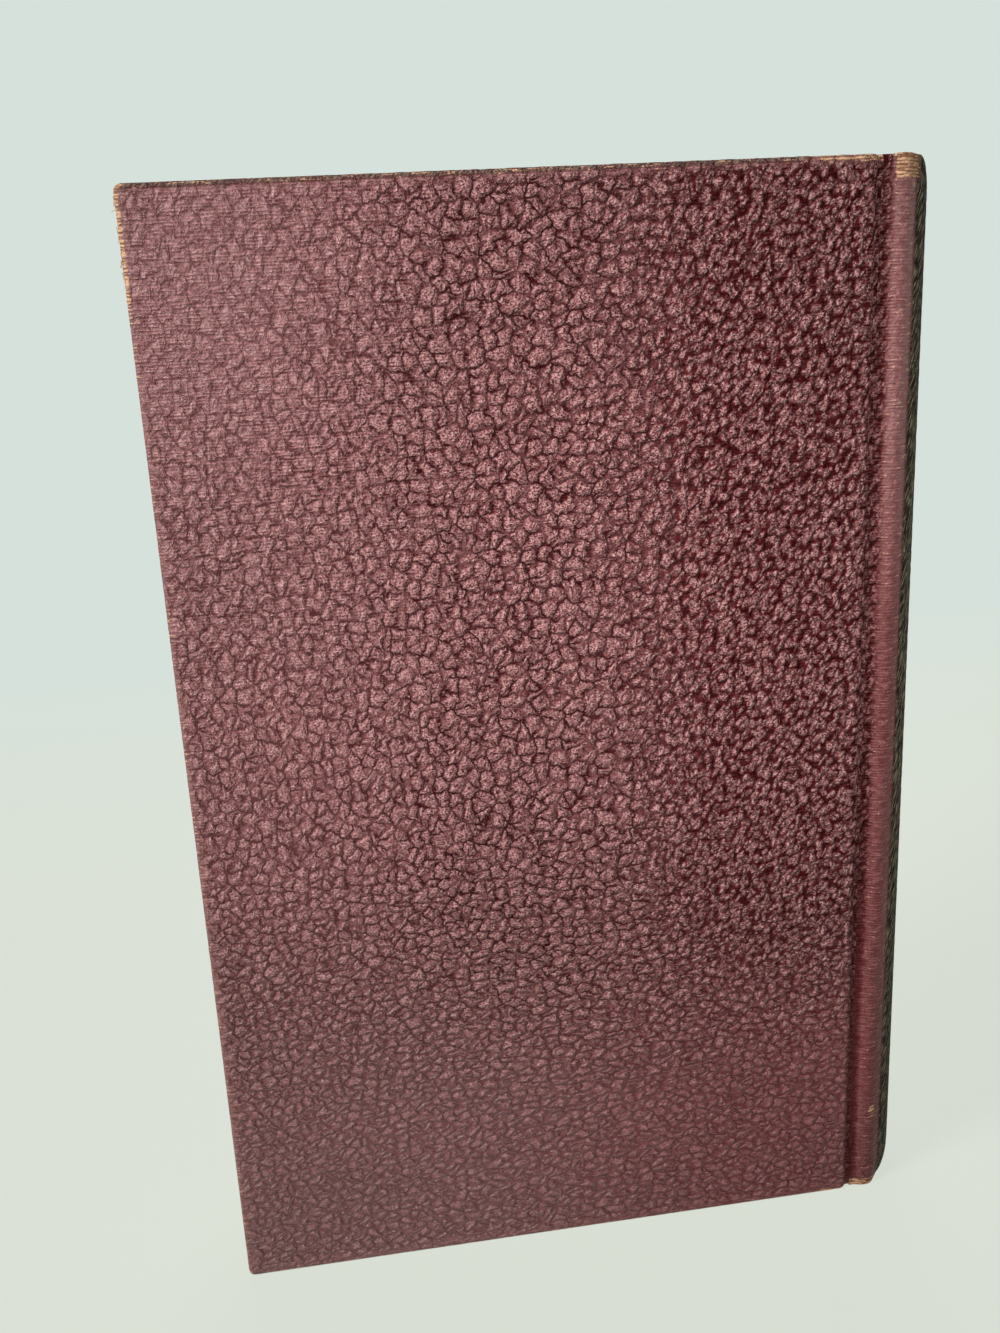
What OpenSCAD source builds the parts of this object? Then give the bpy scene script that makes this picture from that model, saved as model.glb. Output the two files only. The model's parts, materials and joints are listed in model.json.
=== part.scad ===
// Hardback book in a full cloth case, with a rounded and backed text block.
// X runs from the fore-edge to the spine, -Y is the back cover and +Z the head.
// Plans are drawn in u, the distance from the covers' fore-edge, and v, the
// distance out from the middle of the thickness. The front half is drawn at +v.

/* [Book] */
// Height of the covers from tail to head
book_h = 190; // [120:1:300]
// Width of each cloth covered board, from its fore-edge to the joint
cover_w = 115.3; // [80:0.1:220]
// Thickness of the leaves pressed together
pages_t = 19; // [12:0.5:30]

/* [Boards and cloth] */
// Thickness of the card boards
board_t = 2.5; // [2:0.1:4]
// Thickness of the covering cloth
cloth_t = 0.4; // [0.25:0.05:0.5]
// Width of the cloth turned in over the boards' edges
turn_in = 15; // [13.5:0.5:22]
// How far the covers stand out past the leaves
square_w = 3; // [1.5:0.25:5]
// Radius of the covers' edges, measured on the cloth
edge_r = 0.8; // [0.6:0.05:1.2]
// Radius of the covers' corners, seen from the front
corner_r = 1.2; // [0.8:0.1:6]
// Radius of the covers' edge beside the joint, measured on the cloth
joint_r = 1.7; // [0.8:0.1:1.9]
// Width of the slit where two turn-ins meet on a mitre
mitre_w = 0.2; // [0.1:0.05:0.4]

/* [Joint and spine] */
// Width of the groove pressed in beside each board
groove_w = 2.5; // [2:0.1:4]
// Depth of the groove below the cover's face
groove_d = 1.9; // [1.9:0.1:2.4]
// Distance from the groove to the crest of the ridge
ridge_w = 2; // [1.6:0.1:4]
// Radius of the ridge's crest
ridge_r = 2.5; // [1.8:0.1:3]
// How far the crest lies below the cover's face
ridge_drop = 0.3; // [0.3:0.05:0.6]
// How far the spine stands out past the crests
spine_round = 8.6; // [7:0.1:10.5]
// Length of the slope between the groove and the crest
slope_w = 2; // [1.8:0.1:2.2]
// Height of the spine's curled cap at head and tail
cap_h = 5; // [3:0.5:8]
// How far the cloth in the joint ends short of head and tail
joint_dip = 0.5; // [0.2:0.1:1]
// Slit between the cover's cloth and the spine's, which bends on the real book
hinge_gap = 0.3; // [0.3:0.05:0.5]

/* [Spine layers] */
// Thickness of the card inlay
inlay_t = 0.6; // [0.4:0.05:1]
// Space between the inlay's turned in cloth and the lining
hollow_gap = 0.3; // [0.3:0.05:0.8]
// Thickness of the paper lining
lining_t = 0.25; // [0.15:0.05:0.4]
// Thickness of the mull with its glue
mull_t = 0.4; // [0.25:0.05:0.5]
// Thickness of the glue on the folds of the leaves
glue_t = 0.05; // [0.03:0.01:0.1]
// Width of the mull's flap on each board
flap_w = 25; // [15:1:32]

/* [Endpapers and bands] */
// Thickness of a flyleaf
fly_t = 0.2; // [0.15:0.05:0.4]
// Thickness of a pastedown
pastedown_t = 0.2; // [0.15:0.05:0.4]
// Space between a pastedown and the flyleaf
leaf_gap = 0.3; // [0.3:0.05:0.6]
// Radius of the bead on a headband
bead_r = 0.9; // [0.6:0.1:1.2]
// Thickness of a headband's strip
band_t = 0.25; // [0.15:0.05:0.35]
// Height of a headband's strip
band_h = 10; // [7:0.5:12]
// Space between the block's shoulder and the cloth over it
shoulder_gap = 0.3; // [0.2:0.05:0.6]
// Width of the shoulder's blunt tip
tip_w = 0.5; // [0.3:0.1:0.8]

/* [Hidden] */
$fn = 96;

burgundy = "#70383d";
card_grey = "#9c8f7c";
leaf_cream = "#e6dcc2";
endpaper_cream = "#e0d4b4";
mull_white = "#d8d2c0";
kraft_brown = "#b08d62";
band_red = "#9c4440";

// One cover is board between two layers of cloth, and holds the pages with its pastedown
cover_t = board_t + 2 * cloth_t;
half_t = pages_t / 2 + fly_t + leaf_gap + pastedown_t + cover_t;
board_in = half_t - cloth_t - board_t;
slab_in = half_t - cover_t;

// Joint, crest and spine in plan
hinge_u = cover_w + groove_w / 2;
crest_u = cover_w + groove_w + ridge_w;
crest_v = half_t - ridge_drop;
groove_v = half_t - groove_d;
book_w = crest_u + spine_round;
// The spine's arc runs into the crest's arc without a corner
crest_mid_v = crest_v - ridge_r;
spine_r = (spine_round ^ 2 + crest_mid_v ^ 2 - ridge_r ^ 2) / (2 * (spine_round - ridge_r));
spine_u = book_w - spine_r;
spine_angle = atan2(crest_mid_v, crest_u - spine_u);

// Spine layers from the cloth in to the leaves
inlay_out_r = spine_r - cloth_t;
inlay_in_r = inlay_out_r - inlay_t;
turned_in_r = inlay_in_r - cloth_t;
lining_out_r = turned_in_r - hollow_gap;
lining_in_r = lining_out_r - lining_t;
mull_in_r = lining_in_r - mull_t;
back_r = mull_in_r - glue_t;
back_angle = asin(pages_t / 2 / back_r);
back_edge_u = spine_u + back_r * cos(back_angle);

// Leaves, which are all as wide, so that the fore-edge hollows as the back rounds
leaf_w = back_edge_u - square_w;
leaf_low = square_w;
leaf_high = book_h - square_w;

// Shoulders of the backed block, under the crests
tip_v = crest_v - cloth_t - shoulder_gap;
tip_u = crest_u - tip_w / 2;
root_u = cover_w + groove_w - shoulder_gap;

// Mull between the two headbands' strips and between the turn-ins
mull_low = max(turn_in, square_w + band_h);
mull_high = book_h - mull_low;
paste_end = cover_w - cloth_t;
flap_start = paste_end - flap_w;

// Stretches of the spine's cloth overlap by this much, each a hair thinner than the last
lap = 0.01;
lap_angle = 1;
lap_w = 0.15;

// The number of steps on a small round and on the block's back and fore-edge
round_steps = 8;
block_steps = 32;
function arc(mid, r, from, to, steps) =
    [for (i = [0:steps]) let (a = from + (to - from) * i / steps) mid + r * [cos(a), sin(a)]];
function flip(points) = [for (i = [len(points) - 1:-1:0]) points[i]];

// The slope from the groove up to the crest, drawn inset by a thickness
slope_end_u = crest_u - (crest_u - hinge_u - slope_w) / 4;
slope_start_u = slope_end_u - slope_w;
function slope_point(t, inset) =
    let (rise = (crest_v - groove_v) * (1 - cos(180 * t)) / 2)
    let (grade = (crest_v - groove_v) * PI / 2 * sin(180 * t) / slope_w)
    [slope_start_u + slope_w * t, groove_v + rise]
        - inset * [-grade, 1] / sqrt(1 + grade ^ 2);
function slope(inset) = [for (i = [0:2 * round_steps]) slope_point(i / (2 * round_steps), inset)];

// The curl of the cap, from the straight spine up to the lip, as radius and height
function cap_curl(r, curl, height, top) =
    [for (i = [0:round_steps]) let (a = 90 * i / round_steps)
        [r - curl * (1 - cos(a)), top - height + height * sin(a)]];
function tail_of(points) = [for (p = flip(points)) [p[0], book_h - p[1]]];

module place() {
    translate([-book_w / 2, 0, 0])
        children();
}

module back_half() {
    mirror([0, 1, 0])
        children();
}

module about_spine(angle) {
    translate([spine_u, 0, 0])
        rotate([0, 0, -angle])
            rotate_extrude(angle = 2 * angle)
                children();
}

// A rectangle from low to high whose corners are true arcs
module rounded(low, high, r) {
    size = high - low;
    translate(low + [r, 0])
        square(size - [2 * r, 0]);
    translate(low + [0, r])
        square(size - [0, 2 * r]);
    for (x = [low[0] + r, high[0] - r])
        for (y = [low[1] + r, high[1] - r])
            translate([x, y])
                circle(r);
}

// The cover's slab in plan, with its wider round beside the joint
module slab_plan(inset) {
    low = [inset, slab_in + inset];
    high = [cover_w - inset, half_t - inset];
    r = joint_r - inset;
    difference() {
        rounded(low, high, edge_r - inset);
        translate(high - [r, r])
            square(r + inset);
    }
    translate(high - [r, r])
        intersection() {
            circle(r);
            square(r);
        }
}

// A cover's outer form, or its board when inset by the cloth
module slab(inset) {
    intersection() {
        linear_extrude(book_h)
            slab_plan(inset);
        rotate([90, 0, 90])
            linear_extrude(cover_w)
                rounded([slab_in + inset, inset], [half_t - inset, book_h - inset], edge_r - inset);
        translate([0, half_t, 0])
            rotate([90, 0, 0])
                linear_extrude(cover_t)
                    rounded([inset, inset], [cover_w - inset, book_h - inset], corner_r - inset);
    }
}

module board() {
    color(card_grey)
        slab(cloth_t);
}

// The board's inner face inside the turn-ins, open as far as the joint
module turn_in_window() {
    translate([turn_in, slab_in - cloth_t, turn_in])
        cube([cover_w, 2 * cloth_t, book_h - 2 * turn_in]);
}

// Slits between the fore-edge's turn-in and those of head and tail
module mitre_slits() {
    for (top = [0, 1])
        translate([0, slab_in - cloth_t, top * book_h])
            mirror([0, 0, top])
                rotate([0, -45, 0])
                    translate([corner_r, 0, -mitre_w / 2])
                        cube([turn_in * sqrt(2), 2 * cloth_t, mitre_w]);
}

module cover_cloth() {
    color(burgundy) {
        difference() {
            slab(0);
            slab(cloth_t);
            turn_in_window();
            mitre_slits();
        }
        translate([cover_w - cloth_t, groove_v - cloth_t, joint_dip])
            cube([groove_w / 2 + cloth_t - hinge_gap / 2, cloth_t, book_h - 2 * joint_dip]);
    }
}

module mull_flap() {
    color(mull_white)
        translate([flap_start, board_in - mull_t, mull_low])
            cube([flap_w, mull_t, mull_high - mull_low]);
}

// One stretch of pastedown, its face that many millimetres in from the board
module paste_sheet(low_u, high_u, low_z, high_z, level) {
    translate([low_u, board_in - level - pastedown_t, low_z])
        cube([high_u - low_u, level + pastedown_t, high_z - low_z]);
}

// It lies on the turn-ins and the mull's flap and sinks to the board between them
module pastedown() {
    inner_low = turn_in + pastedown_t;
    inner_high = book_h - inner_low;
    color(endpaper_cream)
        difference() {
            union() {
                paste_sheet(square_w, flap_start, leaf_low, leaf_high, cloth_t);
                paste_sheet(flap_start - pastedown_t, paste_end, leaf_low, leaf_high, max(mull_t, cloth_t));
            }
            // The turn-ins under the sheet
            difference() {
                translate([0, slab_in, 0])
                    cube([cover_w, cloth_t, book_h]);
                turn_in_window();
            }
            // The flap under the sheet
            translate([flap_start, board_in - max(mull_t, cloth_t), turn_in])
                cube([flap_w, max(mull_t, cloth_t), book_h - 2 * turn_in]);
            // The sunk middle
            translate([inner_low, slab_in - 2 * pastedown_t - mull_t, inner_low])
                cube([
                    flap_start - pastedown_t - inner_low,
                    board_in - slab_in + pastedown_t + mull_t,
                    inner_high - inner_low
                ]);
        }
}

module leaf_face() {
    color(endpaper_cream)
        translate([square_w, pages_t / 2, leaf_low])
            cube([root_u - square_w, fly_t, leaf_high - leaf_low]);
}

// A shoulder on each side is bent out to fill the space under the crest. The folds of
// the leaves lie on an arc behind the shoulders, and their fore-edge repeats that arc.
module block_plan() {
    shoulder = [
        [root_u, pages_t / 2],
        [tip_u - tip_w / 2, tip_v],
        [tip_u + tip_w / 2, tip_v]
    ];
    polygon(concat(
        shoulder,
        arc([spine_u, 0], back_r, back_angle, -back_angle, block_steps),
        [for (p = flip(shoulder)) [p[0], -p[1]]],
        arc([spine_u - leaf_w, 0], back_r, -back_angle, back_angle, block_steps)
    ));
}

module text_block() {
    color(leaf_cream)
        translate([0, 0, leaf_low])
            linear_extrude(leaf_high - leaf_low)
                block_plan();
}

module mull() {
    color(mull_white)
        about_spine(back_angle)
            translate([mull_in_r, mull_low])
                square([mull_t, mull_high - mull_low]);
}

module spine_lining() {
    color(kraft_brown)
        about_spine(back_angle)
            translate([lining_in_r, leaf_low])
                square([lining_t, leaf_high - leaf_low]);
}

// A bead that sits on the leaves, and the strip that hangs from it down the back
module headband() {
    bead_mid = [mull_in_r + band_t - bead_r, leaf_high];
    color(band_red)
        about_spine(back_angle) {
            translate([mull_in_r, leaf_high - band_h])
                square([band_t, band_h + bead_r / 2]);
            intersection() {
                translate(bead_mid + [0, bead_r / 2])
                    circle(bead_r, $fn = 32);
                translate(bead_mid - [bead_r, 0])
                    square(2 * bead_r);
            }
        }
}

module tailband() {
    translate([0, 0, book_h])
        mirror([0, 0, 1])
            headband();
}

module spine_inlay() {
    curl = cap_curl(inlay_out_r, inlay_t, cap_h - cloth_t, book_h - cloth_t);
    color(card_grey)
        about_spine(spine_angle)
            polygon(concat(
                [[inlay_in_r, cloth_t]],
                tail_of(curl),
                curl,
                [[inlay_in_r, book_h - cloth_t]]
            ));
}

// The cloth's seen layer with its curled caps, on a round of any radius
module cloth_skin(r, inset) {
    outside = cap_curl(r - inset, cloth_t + inlay_t, cap_h, book_h - inset);
    inside = cap_curl(r - cloth_t + inset, inlay_t, cap_h - cloth_t, book_h - cloth_t + inset);
    polygon(concat(tail_of(outside), outside, flip(inside), flip(tail_of(inside))));
}

// The same over the inlay, where the cloth is folded over its ends and glued behind it
module cloth_fold() {
    outside = cap_curl(spine_r, cloth_t + inlay_t, cap_h, book_h);
    inside = cap_curl(inlay_out_r, inlay_t, cap_h - cloth_t, book_h - cloth_t);
    behind = [
        [turned_in_r, book_h],
        [turned_in_r, book_h - turn_in],
        [inlay_in_r, book_h - turn_in]
    ];
    polygon(concat(
        tail_of(outside), outside, behind, flip(inside),
        flip(tail_of(inside)), tail_of(behind)
    ));
}

// The rest of the spine's cloth on one side: over the crest and down to the joint
module joint_cloth() {
    translate([crest_u, crest_mid_v, 0])
        rotate([0, 0, spine_angle - lap_angle])
            rotate_extrude(angle = 90 - spine_angle + lap_angle)
                cloth_skin(ridge_r, lap);
    translate([0, 0, joint_dip])
        linear_extrude(book_h - 2 * joint_dip)
            polygon(concat(
                [[hinge_u + hinge_gap / 2, groove_v - cloth_t], [hinge_u + hinge_gap / 2, groove_v]],
                slope(2 * lap),
                [[crest_u + lap_w, crest_v - 2 * lap], [crest_u + lap_w, crest_v - cloth_t + 2 * lap]],
                flip(slope(cloth_t - 2 * lap))
            ));
}

module spine_cloth() {
    color(burgundy) {
        about_spine(spine_angle)
            cloth_fold();
        joint_cloth();
        back_half()
            joint_cloth();
    }
}

place() text_block();
place() back_half() leaf_face();  // back_flyleaf
place() leaf_face();  // front_flyleaf
place() mull();
place() spine_lining();
place() headband();
place() tailband();
place() spine_inlay();
place() spine_cloth();
place() back_half() board();  // back_board
place() back_half() cover_cloth();  // back_cloth
place() back_half() mull_flap();  // back_mull_flap
place() back_half() pastedown();  // back_pastedown
place() board();  // front_board
place() cover_cloth();  // front_cloth
place() mull_flap();  // front_mull_flap
place() pastedown();  // front_pastedown
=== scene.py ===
"""Dresses a hardback book in leather-grained bookcloth, with its leaves, endpapers and bands."""

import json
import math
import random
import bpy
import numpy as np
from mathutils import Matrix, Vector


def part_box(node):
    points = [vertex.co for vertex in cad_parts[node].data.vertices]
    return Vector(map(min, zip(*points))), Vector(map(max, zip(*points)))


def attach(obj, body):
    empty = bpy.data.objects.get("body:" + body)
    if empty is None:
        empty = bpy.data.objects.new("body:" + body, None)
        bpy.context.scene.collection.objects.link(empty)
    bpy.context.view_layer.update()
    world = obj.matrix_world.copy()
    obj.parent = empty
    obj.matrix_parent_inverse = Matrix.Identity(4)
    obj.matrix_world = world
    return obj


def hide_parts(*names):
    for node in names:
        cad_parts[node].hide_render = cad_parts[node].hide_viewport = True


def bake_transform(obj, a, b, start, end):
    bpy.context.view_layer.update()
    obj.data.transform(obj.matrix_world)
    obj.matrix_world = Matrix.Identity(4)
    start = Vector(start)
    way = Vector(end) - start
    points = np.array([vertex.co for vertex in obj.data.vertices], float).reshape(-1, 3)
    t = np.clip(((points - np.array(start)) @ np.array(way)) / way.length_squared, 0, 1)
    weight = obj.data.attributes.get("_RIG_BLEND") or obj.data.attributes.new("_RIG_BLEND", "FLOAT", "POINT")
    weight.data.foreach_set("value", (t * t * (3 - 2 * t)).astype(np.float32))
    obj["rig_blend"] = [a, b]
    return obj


bl_info = {
    "name": "Grained cloth book",
    "version": (1, 0, 0),
    "blender": (4, 5, 0),
    "location": "3D View > Sidebar > Book",
    "description": "Dresses a hardback book in grained bookcloth, paper and card, and sets its stage",
    "category": "Object",
}

from types import SimpleNamespace

import bmesh
import bpy
from bpy.props import FloatProperty, FloatVectorProperty, IntProperty, PointerProperty
from mathutils import Matrix, Vector

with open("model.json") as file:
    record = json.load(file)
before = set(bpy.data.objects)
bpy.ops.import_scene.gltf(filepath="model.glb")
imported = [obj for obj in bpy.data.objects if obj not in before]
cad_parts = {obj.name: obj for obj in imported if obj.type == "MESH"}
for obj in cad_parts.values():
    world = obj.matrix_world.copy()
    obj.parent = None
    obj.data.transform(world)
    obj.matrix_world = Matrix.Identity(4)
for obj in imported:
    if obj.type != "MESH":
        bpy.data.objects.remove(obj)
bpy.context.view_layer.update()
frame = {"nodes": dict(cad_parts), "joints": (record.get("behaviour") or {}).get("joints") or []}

MM = 0.001

# What the cloth carries at each of its points, from 0 to 1: the depth of the pressed grain, how
# far the threads show, wear with a painted sheen on the crest, painted shade with the spine's dark back, low
# mounds in place of pebbles, fine knobs, and painted shade that darkens and dulls the cloth
MASKS = ("relief", "weave", "worn", "soil", "mounds", "knobs", "dull")

# Where on the cloth's pattern the front cover and the spine are cut from, in millimetres, so that
# no two pieces carry the same stretch of grain
FRONT_CUT = (211.0, 173.0)
SPINE_CUT = 407.0

# Places read from the frame, in metres. A plan is drawn in x, from the fore-edge to the spine,
# and in out, the distance from the middle of the thickness, which is -y on the back half.
cloth_low, cloth_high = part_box("back_cloth")
board_low, board_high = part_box("back_board")
spine_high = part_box("spine_cloth")[1]
paste_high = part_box("back_pastedown")[1]
fly_low, fly_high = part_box("back_flyleaf")
leaf_low, leaf_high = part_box("text_block")
strip_low, strip_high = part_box("headband")
HINGE = Vector(next(j for j in frame["joints"] if j["name"] == "back_cover_hinge")["pos_m"])
BOOK_H = cloth_high.z
FORE_X = cloth_low.x
FACE_OUT = -cloth_low.y
CLOTH_T = board_low.x - cloth_low.x
JOINT_X = board_high.x + CLOTH_T
INNER_OUT = -board_high.y - CLOTH_T
SPINE_X = spine_high.x
PAGES_OUT = -fly_high.y


def linear(hex_colour):
    """The linear RGBA of an sRGB hex colour."""
    parts = [int(hex_colour[i:i + 2], 16) / 255 for i in (1, 3, 5)]
    return tuple(c / 12.92 if c <= 0.04045 else ((c + 0.055) / 1.055) ** 2.4 for c in parts) + (1.0,)


def smooth(low, high, value):
    """0 at low, 1 at high, and an even S-curve between them."""
    t = min(max((value - low) / (high - low), 0.0), 1.0)
    return t * t * (3 - 2 * t)


def length_prop(name, description, default_mm):
    """A length that a user can change. Its default is written in millimetres."""
    return FloatProperty(name=name, description=description, default=default_mm * MM,
                         unit="LENGTH", precision=5)


def colour_prop(name, description, hex_colour):
    """A colour that a user can change."""
    return FloatVectorProperty(name=name, description=description, default=linear(hex_colour),
                               size=4, subtype="COLOR", min=0.0, max=1.0)


class BookCaseSettings(bpy.types.PropertyGroup):
    """Sizes of the cloth case"""
    mesh_step: length_prop("Mesh step", "Distance between the points of a cover's mesh", 0.58)
    spine_step: length_prop("Spine step", "Distance between the points up the spine's mesh", 0.48)
    arc_step: length_prop("Arc step", "Distance between points where the cloth bends", 0.36)
    edge_r: length_prop("Edge radius", "Radius of a cover's edges, on the cloth", 0.8)
    corner_r: length_prop("Corner radius", "Radius of a cover's corners, seen from the front", 1.2)
    joint_r: length_prop("Joint edge radius", "Radius of a cover's edge beside the joint", 1.7)
    joint_reach: length_prop("Joint reach", "How far the cloth stands out past the board there", 0.5)
    groove_r: length_prop("Groove radius", "Radius of the cloth where it meets the groove", 0.7)
    groove_d: length_prop("Groove depth", "Depth of the groove below the cover's face", 1.5)
    ridge_w: length_prop("Ridge width", "Distance from the groove to the crest of the ridge", 2.0)
    ridge_r: length_prop("Crest radius", "Radius of the ridge's crest", 2.5)
    ridge_drop: length_prop("Ridge drop", "How far the crest lies below the cover's face", 0.3)
    slope_w: length_prop("Slope width", "Length of the slope between groove and crest", 2.6)
    cap_h: length_prop("Cap height", "Height of the spine's curled cap at head and tail", 6.0)
    cap_curl: length_prop("Cap curl", "How far the cap leans in at its lip", 1.2)
    spine_t: length_prop("Spine thickness", "Cloth, inlay and turned-in cloth of the spine", 1.4)
    joint_t: length_prop("Joint thickness", "Two layers of cloth and their filling in the joint", 1.2)
    joint_dip: length_prop("Joint dip", "How far the joint's cloth ends short of head and tail", 0.15)
    frame_w: length_prop("Turn-in shown", "Width of the modelled turn-in inside a cover", 5.0)


class BookGrainSettings(bpy.types.PropertyGroup):
    """Grain, thread and colours of the bookcloth"""
    pebble: length_prop("Pebble size", "Width of one pebble of the embossed grain", 2.4)
    chip: length_prop("Chip size", "Width of the parts that fine cracks split a pebble into", 1.3)
    nodule: length_prop("Nodule size", "Width of one fine nodule of the knobbly side", 0.9)
    crease: length_prop("Crease spacing", "Distance between the long creases", 6.0)
    thread: length_prop("Thread pitch", "Distance from one thread of the cloth to the next", 0.5)
    relief: length_prop("Relief", "Height of the pebbles above the cracks, in the mesh", 0.17)
    fine_relief: length_prop("Fine relief", "Height of nodules and threads, in the material", 0.34)
    cloth: colour_prop("Cloth", "Burgundy of the cloth", "#8d3a3e")
    # Deep dye, also painted shade on the knobbly side, the lower joint side and the spine's tail
    deep: colour_prop("Deep dye", "Burgundy where the dye took deeper", "#752b30")
    # Painted shade: the dark red of the cracks, creases and gaps
    crevice_shade: colour_prop("Crevices", "Dark red left in the crevices", "#34080c")
    # Rubbed tops and thread backs, paler with a painted highlight
    rubbed_and_lit: colour_prop("Rubbed tops", "Paler red of the rubbed tops", "#c98c8a")
    # Faded wear, on the spine's crest partly a painted sheen
    faded_and_sheen: colour_prop("Faded edges", "Greyish red where the dye fades", "#88635f")
    # Painted shade, nearly black on the head edge and over the spine's dark back
    shaded_black: colour_prop("Soiled spine", "Nearly black of the handled spine", "#101310")
    bared: colour_prop("Bared thread", "Tan of the threads where the dye is worn off", "#e8b48e")
    broken: colour_prop("Broken thread", "Tan of the broken threads that stand off", "#b98f70")


class BookPaperSettings(bpy.types.PropertyGroup):
    """Leaves, endpapers and bands"""
    layers: IntProperty(name="Leaf lines", description="Layers that the leaves' edges are drawn with",
                        default=228, min=20, max=400)
    gathering: IntProperty(name="Layers a gathering", description="Layers in one folded gathering",
                           default=19, min=4, max=60)
    uneven: length_prop("Uneven trim", "How far the edges of the leaves vary", 0.09)
    back_r: length_prop("Back radius", "Radius of the leaves' rounded back and hollow fore-edge", 12.534)
    tip_x: length_prop("Shoulder place", "How far along the book the outermost leaf bends out to", 55.1)
    tip_w: length_prop("Shoulder tip", "Width of the shoulder's blunt tip", 0.5)
    fold_x: length_prop("Fold place", "Where the fold of an endpaper reaches into the joint", 51.9)
    fold_out: length_prop("Fold reach", "How far from the middle that fold reaches", 10.72)
    sheet_t: length_prop("Endpaper thickness", "Thickness of an endpaper", 0.2)
    bead_r: length_prop("Bead radius", "Radius of the bead on a headband", 0.9)
    band_t: length_prop("Band thickness", "Thickness of a headband's strip", 0.25)
    thread: length_prop("Band thread", "Pitch of the thread wound round the bead", 0.45)
    paper: colour_prop("Leaves", "Cream of the leaves' edges", "#d6c8a4")
    endpaper: colour_prop("Endpapers", "Cream of the endpapers", "#d9ccab")
    band: colour_prop("Bands", "Faded red of the headbands", "#8c4a40")


class BookStageSettings(bpy.types.PropertyGroup):
    """Camera, light and floor"""
    eye: FloatVectorProperty(name="Camera", description="Where the camera stands",
                             subtype="TRANSLATION", default=(-0.0395, -0.21643, 0.17421))
    look: FloatVectorProperty(name="View", description="Direction in which the camera looks",
                              default=(0.12952, 0.94938, -0.28619))
    up: FloatVectorProperty(name="Up", description="Upward direction of the picture",
                            default=(0.08883, 0.27635, 0.95694))
    lens: FloatProperty(name="Lens", description="Focal length on a 36 mm sensor", default=35.0)
    floor: colour_prop("Floor", "Pale floor", "#e3e9de")
    wall: colour_prop("Backdrop", "Pale backdrop", "#d6e1dc")


def line_points(start, end, step):
    """Stations (x, out, normal x, normal out) along a straight stretch of a plan."""
    way = end - start
    count = max(1, round(way.length / step))
    normal = Vector((-way.y, way.x)).normalized()
    return [(*(start + way * i / count), *normal) for i in range(count + 1)]


def arc_points(middle, radius, start, end, step):
    """Stations along an arc between two angles. It is hollow where the angle grows."""
    count = max(2, round(abs(end - start) * radius / step))
    side = -1 if end > start else 1
    points = []
    for i in range(count + 1):
        angle = start + (end - start) * i / count
        ray = Vector((math.cos(angle), math.sin(angle)))
        points.append((*(middle + ray * radius), *(ray * side)))
    return points


def joined(*stretches):
    """Stretches of a plan in one list, with each shared end once."""
    points = list(stretches[0])
    for stretch in stretches[1:]:
        points += stretch[1:]
    return points


def lengths_along(points):
    """How far along the plan each station lies."""
    total = [0.0]
    for a, b in zip(points, points[1:]):
        total.append(total[-1] + (Vector(b[:2]) - Vector(a[:2])).length)
    return total


def even_steps(low, high, step):
    """Places from low to high, about a step apart."""
    count = max(1, round((high - low) / step))
    return [low + (high - low) * i / count for i in range(count + 1)]


def spine_circle(case):
    """Middle x, radius and half angle of the spine's arc, which runs into the crests' arcs."""
    crest_x = HINGE.x + (HINGE.x - JOINT_X) + case.ridge_w
    crest_out = FACE_OUT - case.ridge_drop
    crest_mid = crest_out - case.ridge_r
    round_out = SPINE_X - crest_x
    radius = (round_out ** 2 + crest_mid ** 2 - case.ridge_r ** 2) / (2 * (round_out - case.ridge_r))
    middle = SPINE_X - radius
    return middle, radius, math.atan2(crest_mid, crest_x - middle)


def joint_lift(z):
    """How much shallower the joint's groove is towards head and tail, where it was pressed less."""
    lift, inner_end, outer_end = 0.6 * MM, 8 * MM, 1 * MM
    return lift * smooth(inner_end, outer_end, min(z, BOOK_H - z))


def cover_plan(case, face_steps):
    """Stations of a cover's cloth from its fore-edge over the joint's edge to the groove."""
    floor = FACE_OUT - case.groove_d
    edge_mid = Vector((JOINT_X + case.joint_reach - case.joint_r, FACE_OUT - case.joint_r))
    reach = case.joint_r + case.groove_r
    lean = math.asin((floor + case.groove_r - edge_mid.y) / reach)
    groove_mid = edge_mid + reach * Vector((math.cos(lean), math.sin(lean)))
    return joined(
        [(x, FACE_OUT, 0.0, 1.0) for x in face_steps],
        arc_points(edge_mid, case.joint_r, math.pi / 2, lean, case.arc_step),
        arc_points(groove_mid, case.groove_r, math.pi + lean, math.pi * 1.5, case.arc_step),
        line_points(Vector((groove_mid.x, floor)), Vector((HINGE.x, floor)), case.arc_step),
    )


def spine_half_plan(case):
    """Stations of the spine's cloth from the groove over the crest to the middle of the spine."""
    middle, radius, angle = spine_circle(case)
    floor = FACE_OUT - case.groove_d
    crest_x = HINGE.x + (HINGE.x - JOINT_X) + case.ridge_w
    crest_out = FACE_OUT - case.ridge_drop
    # A quarter of the width that the slope leaves lies between it and the crest
    slope_end = crest_x - (crest_x - HINGE.x - case.slope_w) / 4
    slope_start = slope_end - case.slope_w
    steps = round(1.25 * case.slope_w / case.arc_step)
    slope = []
    for i in range(steps + 1):
        t = i / steps
        grade = (crest_out - floor) * math.pi / 2 * math.sin(math.pi * t) / case.slope_w
        normal = Vector((-grade, 1.0)).normalized()
        rise = (crest_out - floor) * (1 - math.cos(math.pi * t)) / 2
        slope.append((slope_start + case.slope_w * t, floor + rise, *normal))
    return joined(
        line_points(Vector((HINGE.x, floor)), Vector((slope_start, floor)), case.arc_step),
        slope,
        line_points(Vector((slope_end, crest_out)), Vector((crest_x, crest_out)), case.arc_step),
        arc_points(Vector((crest_x, crest_out - case.ridge_r)), case.ridge_r, math.pi / 2, angle,
                   case.arc_step),
        arc_points(Vector((middle, 0.0)), radius, angle, 0.0, case.spine_step),
    )


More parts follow.
